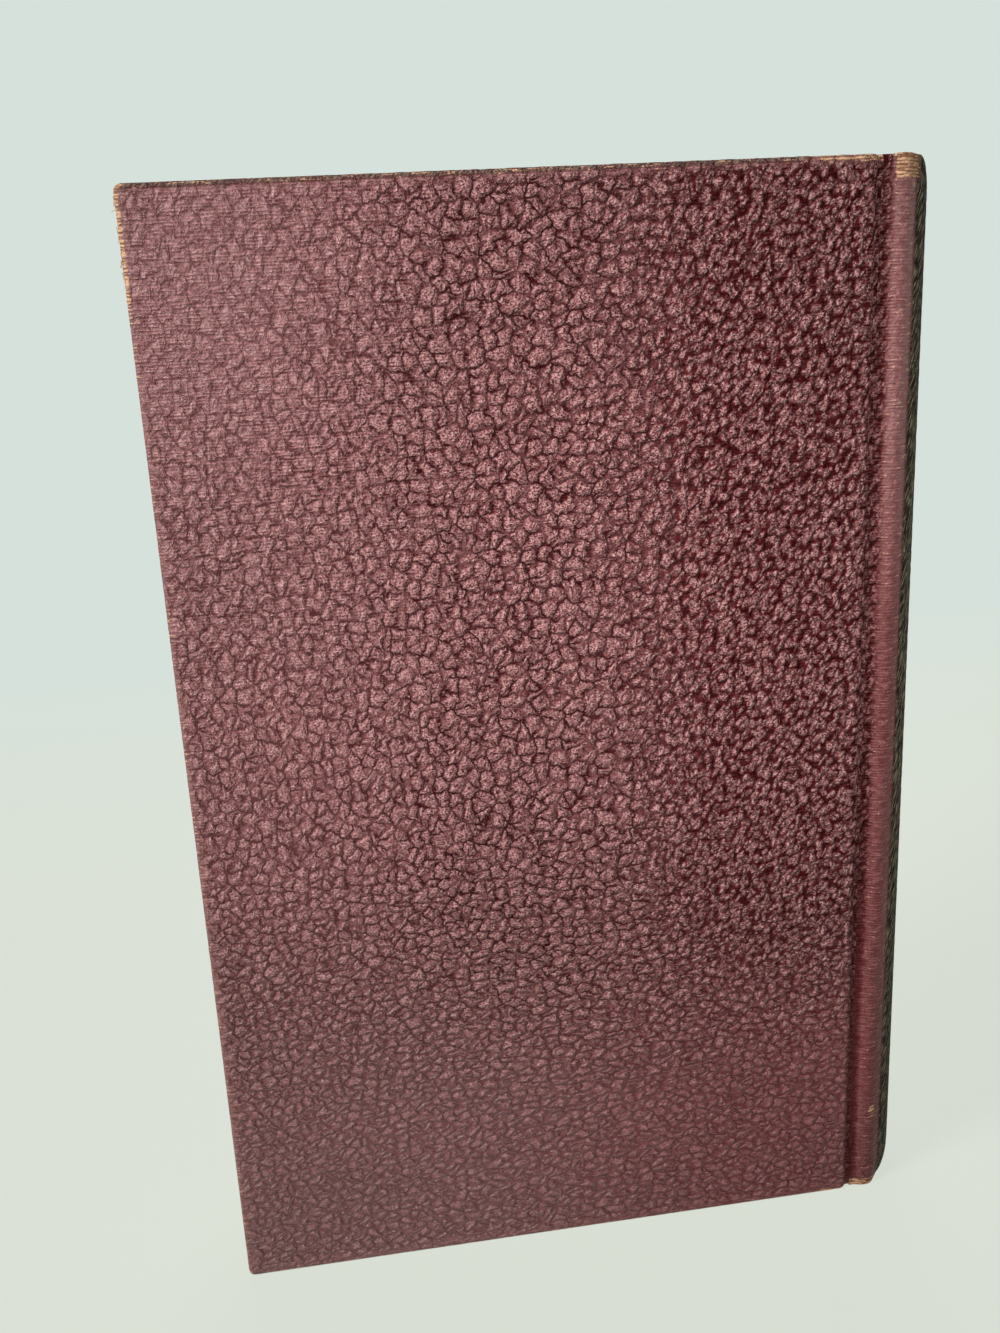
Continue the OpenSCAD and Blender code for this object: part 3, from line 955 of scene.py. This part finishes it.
def fine_nodes(tree, place):
    """The fine patterns on the unrolled cloth: nodules drawn out along a slant, a finer grit, and
    threads across the cloth, broken into short dashes. place is in millimetres, so a scale of 2.9
    gives the grit a grain of a third of a millimetre."""
    grain = bpy.context.scene.book_grain
    slanted = add(tree, "ShaderNodeVectorRotate",
                  {"Vector": place, "Axis": (0.0, 0.0, 1.0), "Angle": math.radians(-55)},
                  rotation_type="AXIS_ANGLE")
    tall = add(tree, "ShaderNodeVectorMath", {0: slanted, 1: (0.65, 1.0, 1.0)}, operation="MULTIPLY")
    shake = add(tree, "ShaderNodeTexNoise", {"Vector": tall, "Scale": 0.9, "Detail": 2.0},
                noise_dimensions="2D")
    tall = add(tree, "ShaderNodeVectorMath", {0: shake.outputs["Color"], 1: (0.9, 0.9, 0.0), 2: tall},
               operation="MULTIPLY_ADD")
    nodule = add(tree, "ShaderNodeTexVoronoi",
                 {"Vector": tall, "Scale": MM / grain.nodule, "Smoothness": 0.35, "Randomness": 1.0},
                 voronoi_dimensions="2D", feature="SMOOTH_F1")
    bead = add(tree, "ShaderNodeMapRange", {0: nodule, 1: 0.12, 2: 0.72, 3: 1.0, 4: 0.0},
               interpolation_type="SMOOTHSTEP")
    flat = add(tree, "ShaderNodeVectorMath", {0: place, 1: (0.85, 1.2, 1.0)}, operation="MULTIPLY")
    grit = add(tree, "ShaderNodeTexNoise",
               {"Vector": flat, "Scale": 2.9, "Detail": 2.0, "Roughness": 0.6}, noise_dimensions="2D")

    split = add(tree, "ShaderNodeSeparateXYZ", {0: place})
    turn = add(tree, "ShaderNodeMath", {0: split.outputs["Y"], 1: math.tau * MM / grain.thread},
               operation="MULTIPLY")
    wobble = add(tree, "ShaderNodeMath", {0: grit, 1: 4.0, 2: turn}, operation="MULTIPLY_ADD")
    wave = add(tree, "ShaderNodeMath", {0: wobble}, operation="SINE")
    stretched = add(tree, "ShaderNodeVectorMath", {0: place, 1: (0.42, 2.6, 1.0)}, operation="MULTIPLY")
    dash = add(tree, "ShaderNodeTexNoise", {"Vector": stretched, "Scale": 1.0, "Detail": 2.0},
               noise_dimensions="2D")
    thread = add(tree, "ShaderNodeMath", {0: wave, 1: 0.09, 2: dash}, operation="MULTIPLY_ADD")
    return SimpleNamespace(slanted=slanted, bead=bead, grit=grit, dash=dash, thread=thread)


def fine_height(tree, mask, marks, fine):
    """Height of the fine relief: beads where the cloth is knobbly, grit where the grain is deep,
    mounds and threads, less the cracks and creases."""
    knobbly = add(tree, "ShaderNodeMapRange", {0: mask.knobs, 1: 0.0, 2: 1.0, 3: 0.3, 4: 1.7})
    knobbly = add(tree, "ShaderNodeMath", {0: mask.mounds, 1: -0.3, 2: knobbly}, operation="MULTIPLY_ADD")
    gritty = add(tree, "ShaderNodeMapRange", {0: mask.relief, 1: 0.3, 2: 0.8, 3: 0.5, 4: 1.3})
    gritty = add(tree, "ShaderNodeMath", {0: mask.mounds, 1: -0.25, 2: gritty}, operation="MULTIPLY_ADD")
    softly = add(tree, "ShaderNodeMath", {0: mask.mounds, 1: 1.5}, operation="MULTIPLY")
    softly = add(tree, "ShaderNodeMath", {0: mask.relief, 1: 1.8, 2: softly}, operation="MULTIPLY_ADD")
    woven = add(tree, "ShaderNodeMath", {0: mask.weave, 1: 0.8}, operation="MULTIPLY")
    cut = add(tree, "ShaderNodeMath", {0: marks.chip, 1: 0.6, 2: marks.crack}, operation="MULTIPLY_ADD")
    cut = add(tree, "ShaderNodeMath", {0: marks.crease, 1: 0.8, 2: cut}, operation="MULTIPLY_ADD")
    cut = add(tree, "ShaderNodeMath", {0: cut, 1: marks.firmness}, operation="MULTIPLY")
    sinking = add(tree, "ShaderNodeMapRange", {0: mask.relief, 1: 0.0, 2: 1.0, 3: 0.0, 4: -1.3})
    height = add(tree, "ShaderNodeMath", {0: fine.bead, 1: knobbly}, operation="MULTIPLY")
    for form, share in ((fine.grit, gritty), (marks.mound, softly), (fine.thread, woven), (cut, sinking)):
        height = add(tree, "ShaderNodeMath", {0: form, 1: share, 2: height}, operation="MULTIPLY_ADD")
    return height


def lit_rubbed_tops(tree, mask, marks, fine):
    """How far the tops of the grain are paler: rubbed-off dye with a painted highlight, flecked with painted
    glints from the grit.
    """
    between = add(tree, "ShaderNodeMapRange", {0: mask.knobs, 1: 0.0, 2: 1.0, 3: 0.45, 4: 0.0})
    beads = add(tree, "ShaderNodeMapRange", {0: fine.bead, 1: 0.25, 2: 0.85, 3: between, 4: 1.0})
    crowned = add(tree, "ShaderNodeMath", {0: mask.knobs, 1: 0.8}, operation="MULTIPLY")
    crowned = add(tree, "ShaderNodeMath", {0: marks.crown, 1: crowned}, operation="MAXIMUM")
    grains = add(tree, "ShaderNodeMapRange", {0: fine.grit, 1: 0.45, 2: 0.56, 3: 0.2, 4: 1.0})
    rubbing = add(tree, "ShaderNodeMapRange", {0: mask.relief, 1: 0.2, 2: 0.75, 3: 0.15, 4: 1.6})
    rubbing = add(tree, "ShaderNodeMath", {0: mask.mounds, 1: 0.25, 2: rubbing}, operation="MULTIPLY_ADD")
    tops = crowned
    for share in (beads, grains, rubbing):
        tops = add(tree, "ShaderNodeMath", {0: tops, 1: share}, operation="MULTIPLY")
    return tops


def shaded_places(tree, mask, marks, fine):
    """Painted shade in the gaps between nodules, the cracks and creases, and the pits of the grit."""
    gap_shade = add(tree, "ShaderNodeMapRange", {0: fine.bead, 1: 0.02, 2: 0.33, 3: 1.0, 4: 0.0})
    sunk = add(tree, "ShaderNodeMapRange", {0: mask.knobs, 1: 0.0, 2: 1.0, 3: 0.15, 4: 0.9})
    gap_shade = add(tree, "ShaderNodeMath", {0: gap_shade, 1: sunk}, operation="MULTIPLY")
    depth = add(tree, "ShaderNodeMapRange", {0: mask.relief, 1: 0.0, 2: 0.8, 3: 0.0, 4: 1.0})
    lines = add(tree, "ShaderNodeMath", {0: marks.crack, 1: marks.crease}, operation="MAXIMUM")
    lines = add(tree, "ShaderNodeMath", {0: lines, 1: marks.chip}, operation="MAXIMUM")
    for share in (depth, marks.firmness):
        lines = add(tree, "ShaderNodeMath", {0: lines, 1: share}, operation="MULTIPLY")
    recess_shade = add(tree, "ShaderNodeMath", {0: lines, 1: gap_shade}, operation="MAXIMUM", use_clamp=True)
    pit_shade = add(tree, "ShaderNodeMapRange", {0: fine.grit, 1: 0.34, 2: 0.50, 3: 0.8, 4: 0.0})
    pitted = add(tree, "ShaderNodeMapRange", {0: mask.relief, 1: 0.25, 2: 0.9, 3: 0.1, 4: 1.0})
    pit_shade = add(tree, "ShaderNodeMath", {0: pit_shade, 1: pitted}, operation="MULTIPLY", use_clamp=True)
    return recess_shade, pit_shade


def bookcloth():
    """Starch-filled cotton bookcloth, dyed burgundy and embossed with a leather grain. Its filled
    face has a soft sheen, painted shade darkens the cracks, painted highlights pale the tops, and rubbed
    places show the thread."""
    made = bpy.data.materials.get("filled_bookcloth")
    if made:
        return made
    grain = bpy.context.scene.book_grain
    # The reds here are painted shade in pits, furrows and the groove; the grey is a painted reflection
    pit_shade_red, furrow_shade_red, groove_shade_red = linear("#662022"), linear("#561f24"), linear("#371512")
    reflection_grey, strand_shade = linear("#979074"), linear("#8c5f44")
    material, tree, surface = new_material("filled_bookcloth", **{"Specular IOR Level": 1.0, "IOR": 1.62})
    place, pattern = [add(tree, "ShaderNodeAttribute", attribute_name=name).outputs["Vector"]
                      for name in ("sheet", "pressed")]
    mask = SimpleNamespace(**{
        name: add(tree, "ShaderNodeAttribute", attribute_name=name).outputs["Fac"] for name in MASKS})
    marks = grain_nodes(tree, pattern)
    marks.firmness = add(tree, "ShaderNodeMapRange", {0: mask.knobs, 1: 0.0, 2: 1.0, 3: 1.0, 4: 0.8})
    fine = fine_nodes(tree, place)
    bump = add(tree, "ShaderNodeBump", {"Strength": 1.0, "Distance": grain.fine_relief,
                                        "Height": fine_height(tree, mask, marks, fine)})
    tree.links.new(bump.outputs[0], surface.inputs["Normal"])

    # The dye varies over about 20 mm, and painted shade darkens the knobbly side and the cloth low by the
    # joint
    slow = add(tree, "ShaderNodeTexNoise", {"Vector": place, "Scale": 0.045, "Detail": 3.0},
               noise_dimensions="2D")
    patchy_and_shaded = add(tree, "ShaderNodeMapRange", {0: slow, 1: 0.35, 2: 0.65, 3: 0.0, 4: 0.35})
    for side, share in ((mask.knobs, 0.6), (mask.dull, 0.45)):
        patchy_and_shaded = add(tree, "ShaderNodeMath", {0: side, 1: share, 2: patchy_and_shaded}, operation="MULTIPLY_ADD")

    # Painted shade in the threads' furrows and a painted highlight on their raised backs, where the filling
    # is thin
    furrow_shade = add(tree, "ShaderNodeMapRange", {0: fine.thread, 1: 0.38, 2: 0.58, 3: 0.42, 4: 0.0})
    furrow_shade = add(tree, "ShaderNodeMath", {0: furrow_shade, 1: mask.weave}, operation="MULTIPLY")
    lit_thread_backs = add(tree, "ShaderNodeMapRange", {0: fine.thread, 1: 0.5, 2: 0.66, 3: 0.0, 4: 0.42})
    lit_thread_backs = add(tree, "ShaderNodeMath", {0: lit_thread_backs, 1: mask.weave}, operation="MULTIPLY")

    # Painted shade: reddish brown in the joint's groove; nearly black on the head edge and the spine's dark
    # back, streaked with a painted grey reflection
    shaded_dark_share = add(tree, "ShaderNodeMapRange", {0: fine.dash, 1: 0.25, 2: 0.75, 3: 1.0, 4: 0.88})
    shaded_dark_share = add(tree, "ShaderNodeMath", {0: shaded_dark_share, 1: mask.soil}, operation="MULTIPLY")
    shaded_back = add(tree, "ShaderNodeMapRange", {0: mask.soil, 1: 0.6, 2: 0.9, 3: 0.0, 4: 1.0})
    # Painted grey reflection, streaked along the slant
    drawn = add(tree, "ShaderNodeVectorMath", {0: fine.slanted, 1: (0.35, 2.4, 1.0)}, operation="MULTIPLY")
    reflection_streaks = add(tree, "ShaderNodeTexNoise", {"Vector": drawn, "Scale": 1.1, "Detail": 3.0},
                noise_dimensions="2D")
    reflection_streaks = add(tree, "ShaderNodeMapRange", {0: reflection_streaks, 1: 0.50, 2: 0.62, 3: 0.0, 4: 1.0})
    shade_colour = add(tree, "ShaderNodeMix", {0: reflection_streaks, 6: tuple(grain.shaded_black), 7: reflection_grey},
               data_type="RGBA").outputs[2]
    shade_colour = add(tree, "ShaderNodeMix", {0: shaded_back, 6: groove_shade_red, 7: shade_colour}, data_type="RGBA").outputs[2]

    # Wear: first the dye fades, then single threads come bare. On the spine's crest the fading is partly a
    # painted sheen
    fading = add(tree, "ShaderNodeMapRange", {0: mask.worn, 1: 0.0, 2: 0.3, 3: 0.0, 4: 0.75})
    uneven = add(tree, "ShaderNodeMapRange", {0: fine.grit, 1: 0.42, 2: 0.58, 3: 0.35, 4: 1.0})
    fading = add(tree, "ShaderNodeMath", {0: fading, 1: uneven}, operation="MULTIPLY")
    fray = add(tree, "ShaderNodeMath", {0: fine.grit, 1: 0.9, 2: mask.worn}, operation="MULTIPLY_ADD")
    fray = add(tree, "ShaderNodeMath", {0: fine.dash, 1: 1.1, 2: fray}, operation="MULTIPLY_ADD")
    bared = add(tree, "ShaderNodeMapRange", {0: fray, 1: 1.43, 2: 1.62, 3: 0.0, 4: 1.0},
                interpolation_type="SMOOTHSTEP")
    strand = add(tree, "ShaderNodeMapRange", {0: fine.thread, 1: 0.40, 2: 0.58, 3: 0.0, 4: 1.0})
    tan = add(tree, "ShaderNodeMix", {0: strand, 6: strand_shade, 7: tuple(grain.bared)},
              data_type="RGBA").outputs[2]

    tops = lit_rubbed_tops(tree, mask, marks, fine)
    recess_shade, pit_shade = shaded_places(tree, mask, marks, fine)
    colour = tuple(grain.cloth)
    for share, over in ((patchy_and_shaded, tuple(grain.deep)), (tops, tuple(grain.rubbed_and_lit)),
                        (recess_shade, tuple(grain.crevice_shade)), (pit_shade, pit_shade_red), (furrow_shade, furrow_shade_red),
                        (lit_thread_backs, tuple(grain.rubbed_and_lit)), (shaded_dark_share, shade_colour), (fading, tuple(grain.faded_and_sheen)),
                        (bared, tan)):
        colour = add(tree, "ShaderNodeMix", {0: share, 6: colour, 7: over}, data_type="RGBA").outputs[2]
    tree.links.new(colour, surface.inputs["Base Color"])

    # Painted shade on the reflection: gaps and pits give none back, and the knobbly side off its tops, the
    # painted shade and the lower joint side give less; wear is matt
    low = add(tree, "ShaderNodeMath", {0: mask.knobs, 1: tops}, operation="SUBTRACT", use_clamp=True)
    reflection_shade = add(tree, "ShaderNodeMapRange", {0: pit_shade, 1: 0.0, 2: 0.55, 3: 0.0, 4: 0.7})
    reflection_shade = add(tree, "ShaderNodeMath", {0: reflection_shade, 1: recess_shade}, operation="MAXIMUM")
    gloss = add(tree, "ShaderNodeMapRange", {0: fine.grit, 1: 0.3, 2: 0.7, 3: 0.52, 4: 0.38})
    for dulling, share in ((low, 0.35), (mask.soil, 0.8), (fading, 0.9), (mask.dull, 0.5)):
        reflection_shade = add(tree, "ShaderNodeMath", {0: dulling, 1: share, 2: reflection_shade}, operation="MULTIPLY_ADD",
                   use_clamp=True)
    for dulling, share in ((recess_shade, 0.6), (mask.soil, 0.35), (bared, 0.3)):
        gloss = add(tree, "ShaderNodeMath", {0: dulling, 1: share, 2: gloss}, operation="MULTIPLY_ADD",
                    use_clamp=True)
    tint = add(tree, "ShaderNodeMix", {0: reflection_shade, 6: linear("#ffffff"), 7: linear("#000000")},
               data_type="RGBA")
    tree.links.new(tint.outputs[2], surface.inputs["Specular Tint"])
    tree.links.new(gloss.outputs[0], surface.inputs["Roughness"])
    return material


def plain_paper(name, colour, fibre_mm, **shader):
    """Uncoated paper or pulp board: matt, with soft fibres and toned patches about 50 mm wide."""
    material, tree, surface = new_material(name, **{"Roughness": 0.85, "Specular IOR Level": 0.25, **shader})
    place = add(tree, "ShaderNodeTexCoord").outputs["Object"]
    fibre = add(tree, "ShaderNodeTexNoise", {"Vector": place, "Scale": 1 / (fibre_mm * MM), "Detail": 4.0})
    toning = add(tree, "ShaderNodeTexNoise", {"Vector": place, "Scale": 18.0, "Detail": 3.0})
    # Toned paper is darker and browner
    browning = (0.80, 0.74, 0.62)
    toned = tuple(c * share for c, share in zip(colour, browning)) + (1.0,)
    share = add(tree, "ShaderNodeMapRange", {0: toning, 1: 0.4, 2: 0.75, 3: 0.0, 4: 0.6})
    tone = add(tree, "ShaderNodeMix", {0: share, 6: tuple(colour), 7: toned}, data_type="RGBA")
    specks = add(tree, "ShaderNodeMapRange", {0: fibre, 1: 0.3, 2: 0.7, 3: 0.85, 4: 1.08})
    tinted = add(tree, "ShaderNodeVectorMath", {0: tone.outputs[2], "Scale": specks}, operation="SCALE")
    tree.links.new(tinted.outputs[0], surface.inputs["Base Color"])
    bump = add(tree, "ShaderNodeBump", {"Strength": 0.5, "Distance": 0.05 * MM, "Height": fibre})
    tree.links.new(bump.outputs[0], surface.inputs["Normal"])
    return material


def endpaper():
    """Plain cream endpaper, shared by pastedowns, flyleaves and their folds."""
    made = bpy.data.materials.get("endpaper")
    return made or plain_paper("endpaper", bpy.context.scene.book_paper.endpaper, 0.9)


def leaf_edges():
    """Trimmed edges of uncoated book paper: cream, a line for each layer of leaves, and dusty
    toned patches about 35 mm wide."""
    paper = bpy.context.scene.book_paper
    material, tree, surface = new_material("leaf_edges", **{"Roughness": 0.85, "Specular IOR Level": 0.25})
    leaf = add(tree, "ShaderNodeAttribute", attribute_name="leaf").outputs["Fac"]
    place = add(tree, "ShaderNodeTexCoord").outputs["Object"]
    line = add(tree, "ShaderNodeTexNoise", {"W": leaf, "Scale": 0.9, "Detail": 2.0}, noise_dimensions="1D")
    toning = add(tree, "ShaderNodeTexNoise", {"Vector": place, "Scale": 28.0, "Detail": 4.0})
    share = add(tree, "ShaderNodeMapRange", {0: toning, 1: 0.35, 2: 0.75, 3: 0.0, 4: 0.7})
    colour = add(tree, "ShaderNodeMix", {0: share, 6: tuple(paper.paper), 7: linear("#b39a6c")},
                 data_type="RGBA")
    shade = add(tree, "ShaderNodeMapRange", {0: line, 1: 0.3, 2: 0.7, 3: 0.62, 4: 1.08})
    colour = add(tree, "ShaderNodeVectorMath", {0: colour.outputs[2], "Scale": shade}, operation="SCALE")
    tree.links.new(colour.outputs[0], surface.inputs["Base Color"])
    bump = add(tree, "ShaderNodeBump", {"Strength": 0.6, "Distance": 0.06 * MM, "Height": line})
    tree.links.new(bump.outputs[0], surface.inputs["Normal"])
    return material


def wound_thread():
    """Cotton thread, wound round the bead of a headband and faded in places about 6 mm wide. Its
    lint is about 0.4 mm long."""
    paper = bpy.context.scene.book_paper
    material, tree, surface = new_material("wound_cotton", **{
        "Roughness": 0.8, "Specular IOR Level": 0.3, "Sheen Weight": 0.2, "Sheen Roughness": 0.5})
    place = add(tree, "ShaderNodeTexCoord").outputs["Object"]
    lint = add(tree, "ShaderNodeTexNoise", {"Vector": place, "Scale": 2600.0, "Detail": 3.0})
    fading = add(tree, "ShaderNodeTexNoise", {"Vector": place, "Scale": 160.0, "Detail": 2.0})
    colour = add(tree, "ShaderNodeMix", {0: fading, 6: tuple(paper.band), 7: linear("#b08468")},
                 data_type="RGBA")
    shade = add(tree, "ShaderNodeMapRange", {0: lint, 1: 0.3, 2: 0.7, 3: 0.7, 4: 1.1})
    colour = add(tree, "ShaderNodeVectorMath", {0: colour.outputs[2], "Scale": shade}, operation="SCALE")
    tree.links.new(colour.outputs[0], surface.inputs["Base Color"])
    bump = add(tree, "ShaderNodeBump", {"Strength": 0.6, "Distance": 0.05 * MM, "Height": lint})
    tree.links.new(bump.outputs[0], surface.inputs["Normal"])
    return material


def place_camera(scene, stage):
    """A camera at the photograph's viewing angle."""
    camera = bpy.data.objects.new("camera", bpy.data.cameras.new("camera"))
    camera.data.lens = stage.lens
    camera.data.sensor_width = 36.0
    camera.data.clip_start = 0.01
    look = Vector(stage.look).normalized()
    right = look.cross(Vector(stage.up)).normalized()
    up = right.cross(look)
    turn = Matrix((right, up, -look)).transposed()
    camera.matrix_world = Matrix.Translation(Vector(stage.eye)) @ turn.to_4x4()
    scene.collection.objects.link(camera)
    scene.camera = camera


def curved_floor():
    """A floor that bends up into the backdrop behind the book."""
    front_y, back_y, top_z, half_width = -2.4, 1.1, 2.2, 3.0
    bend, steps = 0.25, 12
    profile = [(front_y, 0.0), (back_y - bend, 0.0)]
    for i in range(1, steps + 1):
        turn = math.pi / 2 * i / steps
        profile.append((back_y - bend + bend * math.sin(turn), bend * (1 - math.cos(turn))))
    profile.append((back_y, top_z))
    bm = bmesh.new()
    verts = [bm.verts.new((-half_width, y, z)) for y, z in profile]
    edges = [bm.edges.new(pair) for pair in zip(verts, verts[1:])]
    made = bmesh.ops.extrude_edge_only(bm, edges=edges)["geom"]
    far = [g for g in made if isinstance(g, bmesh.types.BMVert)]
    bmesh.ops.translate(bm, vec=(2 * half_width, 0.0, 0.0), verts=far)
    return finish_mesh(bm, "floor", lambda f: Vector((0.0, -1.0, 1.0)))


def floor_paint(stage):
    """Matt paint, pale to the rays that show a background. The book's shadow stays on it."""
    material, tree, surface = new_material("painted_floor", **{
        "Roughness": 0.75, "Base Color": linear("#dde4d9")})
    place = add(tree, "ShaderNodeTexCoord").outputs["Object"]
    split = add(tree, "ShaderNodeSeparateXYZ", {0: place})
    behind = add(tree, "ShaderNodeMapRange", {0: split.outputs["Y"], 1: 0.1, 2: 0.5, 3: 0.0, 4: 1.0},
                 interpolation_type="SMOOTHSTEP")
    colour = add(tree, "ShaderNodeMix", {0: behind, 6: tuple(stage.floor), 7: tuple(stage.wall)},
                 data_type="RGBA")
    glow = add(tree, "ShaderNodeEmission", {"Color": colour.outputs[2], "Strength": 1.0})
    held = add(tree, "ShaderNodeMapRange", {0: behind, 1: 0.0, 2: 1.0, 3: 0.82, 4: 1.0})
    held = add(tree, "ShaderNodeMath", {0: held, 1: seen_rays(tree)}, operation="MULTIPLY")
    both = add(tree, "ShaderNodeMixShader", {0: held, 1: surface.outputs[0], 2: glow.outputs[0]})
    output = next(n for n in tree.nodes if n.type == "OUTPUT_MATERIAL")
    tree.links.new(both.outputs[0], output.inputs["Surface"])
    return material


def hang_lamps(scene):
    """A narrow lamp on the middle of the cover, one far at the left that grazes it, and a wide
    panel behind for the far side."""
    cover_mid = Vector((0.01, 0.0, 0.125))
    # Each lamp's name, power in watts, width, height, spread in degrees, and place
    lamps = (
        ("cover_lamp", 0.074, 0.14, 0.14, 20, (-0.16, -0.58, 0.32)),
        ("side_lamp", 1.05, 0.30, 0.30, 60, (-0.95, -0.42, 0.70)),
        ("back_panel", 1.56, 0.80, 0.50, 120, (0.10, 0.75, 0.40)),
    )
    for name, watts, width, height, spread, spot in lamps:
        lamp = bpy.data.objects.new(name, bpy.data.lights.new(name, "AREA"))
        lamp.data.shape = "RECTANGLE"
        lamp.data.size = width
        lamp.data.size_y = height
        lamp.data.spread = math.radians(spread)
        lamp.data.energy = watts
        place = Vector(spot)
        turn = (cover_mid - place).to_track_quat("-Z", "Y").to_matrix().to_4x4()
        lamp.matrix_world = Matrix.Translation(place) @ turn
        scene.collection.objects.link(lamp)


def light_room(scene, stage):
    """A weak even light from all round, and the backdrop's colour where the world is seen."""
    scene.world = bpy.data.worlds.new("room_light")
    scene.world.use_nodes = True
    tree = scene.world.node_tree
    room = tree.nodes["Background"]
    room.inputs["Color"].default_value = linear("#f2f6f5")
    room.inputs["Strength"].default_value = 0.06
    backdrop = add(tree, "ShaderNodeBackground", {"Color": tuple(stage.wall), "Strength": 1.0})
    both = add(tree, "ShaderNodeMixShader", {0: seen_rays(tree), 1: room, 2: backdrop})
    output = next(n for n in tree.nodes if n.type == "OUTPUT_WORLD")
    tree.links.new(both.outputs[0], output.inputs["Surface"])


class BOOK_OT_covers(bpy.types.Operator):
    """Cloth of the back and the front cover"""
    bl_idname = "book.covers"
    bl_label = "Cover cloth"

    def execute(self, context):
        for name, side in (("back", -1), ("front", 1)):
            piece = cover_cloth(f"{name}_cover_cloth", side)
            press_grain(piece)
            dress(piece, bookcloth())
            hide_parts(f"{name}_cloth")
            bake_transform(piece, "block", f"{name}_cover", start=(HINGE.x, side * FACE_OUT, 0),
                     end=(JOINT_X, side * FACE_OUT, 0))
        return {"FINISHED"}


class BOOK_OT_spine(bpy.types.Operator):
    """Cloth of the spine, its ridges and caps"""
    bl_idname = "book.spine"
    bl_label = "Spine cloth"

    def execute(self, context):
        piece = spine_cloth("spine_case_cloth")
        press_grain(piece)
        dress(piece, bookcloth())
        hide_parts("spine_cloth")
        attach(piece, "block")
        return {"FINISHED"}


class BOOK_OT_leaves(bpy.types.Operator):
    """Block of leaves"""
    bl_idname = "book.leaves"
    bl_label = "Leaves"

    def execute(self, context):
        piece = leaves("leaf_block")
        dress(piece, leaf_edges())
        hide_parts("text_block")
        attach(piece, "block")
        return {"FINISHED"}


class BOOK_OT_folds(bpy.types.Operator):
    """Folds of the endpapers in the joints"""
    bl_idname = "book.folds"
    bl_label = "Endpaper folds"

    def execute(self, context):
        for name, side in (("back", -1), ("front", 1)):
            piece = fold(f"{name}_endpaper_fold", side)
            dress(piece, endpaper())
            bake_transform(piece, "block", f"{name}_cover", start=(fly_high.x, side * PAGES_OUT, 0),
                     end=(paste_high.x, side * PAGES_OUT, 0))
        return {"FINISHED"}


class BOOK_OT_bands(bpy.types.Operator):
    """Headband and tailband"""
    bl_idname = "book.bands"
    bl_label = "Headbands"

    def execute(self, context):
        cotton = wound_thread()
        for node, up in (("headband", 1), ("tailband", -1)):
            piece = band(f"{node}_wound", up)
            dress(piece, cotton)
            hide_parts(node)
            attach(piece, "block")
        return {"FINISHED"}


class BOOK_OT_fray(bpy.types.Operator):
    """Broken threads at the worn head corner"""
    bl_idname = "book.fray"
    bl_label = "Frayed threads"

    def execute(self, context):
        broken = new_material("broken_thread", **{
            "Base Color": tuple(context.scene.book_grain.broken), "Roughness": 0.8,
            "Specular IOR Level": 0.3})[0]
        thread_r = 0.05 * MM
        piece = tubes("back_frayed_threads", frayed_threads(), thread_r)
        dress(piece, broken)
        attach(piece, "back_cover")
        return {"FINISHED"}


class BOOK_OT_inner_layers(bpy.types.Operator):
    """Materials of the boards, linings and endpapers"""
    bl_idname = "book.inner_layers"
    bl_label = "Inner layers"

    def execute(self, context):
        cream = endpaper()
        card = plain_paper("pulp_board", linear("#9c8f7c"), 0.6)
        kraft = plain_paper("kraft_paper", linear("#b08d62"), 0.7)
        gauze = plain_paper("glued_gauze", linear("#d8d2c0"), 0.8)
        for node, piece in frame["nodes"].items():
            if "pastedown" in node or "flyleaf" in node:
                dress(piece, cream)
            elif "board" in node or "inlay" in node:
                dress(piece, card)
            elif "lining" in node:
                dress(piece, kraft)
            elif "mull" in node:
                dress(piece, gauze)
        return {"FINISHED"}


class BOOK_OT_stage(bpy.types.Operator):
    """Camera, lights, floor and backdrop"""
    bl_idname = "book.stage"
    bl_label = "Stage"

    def execute(self, context):
        scene = context.scene
        stage = scene.book_stage
        place_camera(scene, stage)
        floor = curved_floor()
        dress(floor, floor_paint(stage))
        hang_lamps(scene)
        light_room(scene, stage)
        scene.view_settings.view_transform = "Standard"
        return {"FINISHED"}


class BOOK_PT_panel(bpy.types.Panel):
    """Lists what the book is made of"""
    bl_idname = "BOOK_PT_panel"
    bl_label = "Grained cloth book"
    bl_space_type = "VIEW_3D"
    bl_region_type = "UI"
    bl_category = "Book"

    def draw(self, context):
        for operator in OPERATORS:
            self.layout.operator(operator.bl_idname)
        for group in ("book_case", "book_grain", "book_paper", "book_stage"):
            settings = getattr(context.scene, group)
            box = self.layout.box()
            for name in settings.__annotations__:
                box.prop(settings, name)


GROUPS = {
    "book_case": BookCaseSettings,
    "book_grain": BookGrainSettings,
    "book_paper": BookPaperSettings,
    "book_stage": BookStageSettings,
}
OPERATORS = (
    BOOK_OT_stage,
    BOOK_OT_covers,
    BOOK_OT_spine,
    BOOK_OT_leaves,
    BOOK_OT_folds,
    BOOK_OT_bands,
    BOOK_OT_fray,
    BOOK_OT_inner_layers,
)
CLASSES = (*GROUPS.values(), *OPERATORS, BOOK_PT_panel)


def register():
    """Registers the settings, operators and panel."""
    for made in CLASSES:
        bpy.utils.register_class(made)
    for name, group in GROUPS.items():
        setattr(bpy.types.Scene, name, PointerProperty(type=group))


def unregister():
    """Takes them out again."""
    for name in GROUPS:
        delattr(bpy.types.Scene, name)
    for made in reversed(CLASSES):
        bpy.utils.unregister_class(made)


def main():
    register()
    bpy.ops.book.stage()
    bpy.ops.book.covers()
    bpy.ops.book.spine()
    bpy.ops.book.leaves()
    bpy.ops.book.folds()
    bpy.ops.book.bands()
    bpy.ops.book.fray()
    bpy.ops.book.inner_layers()


if __name__ == "__main__":
    main()
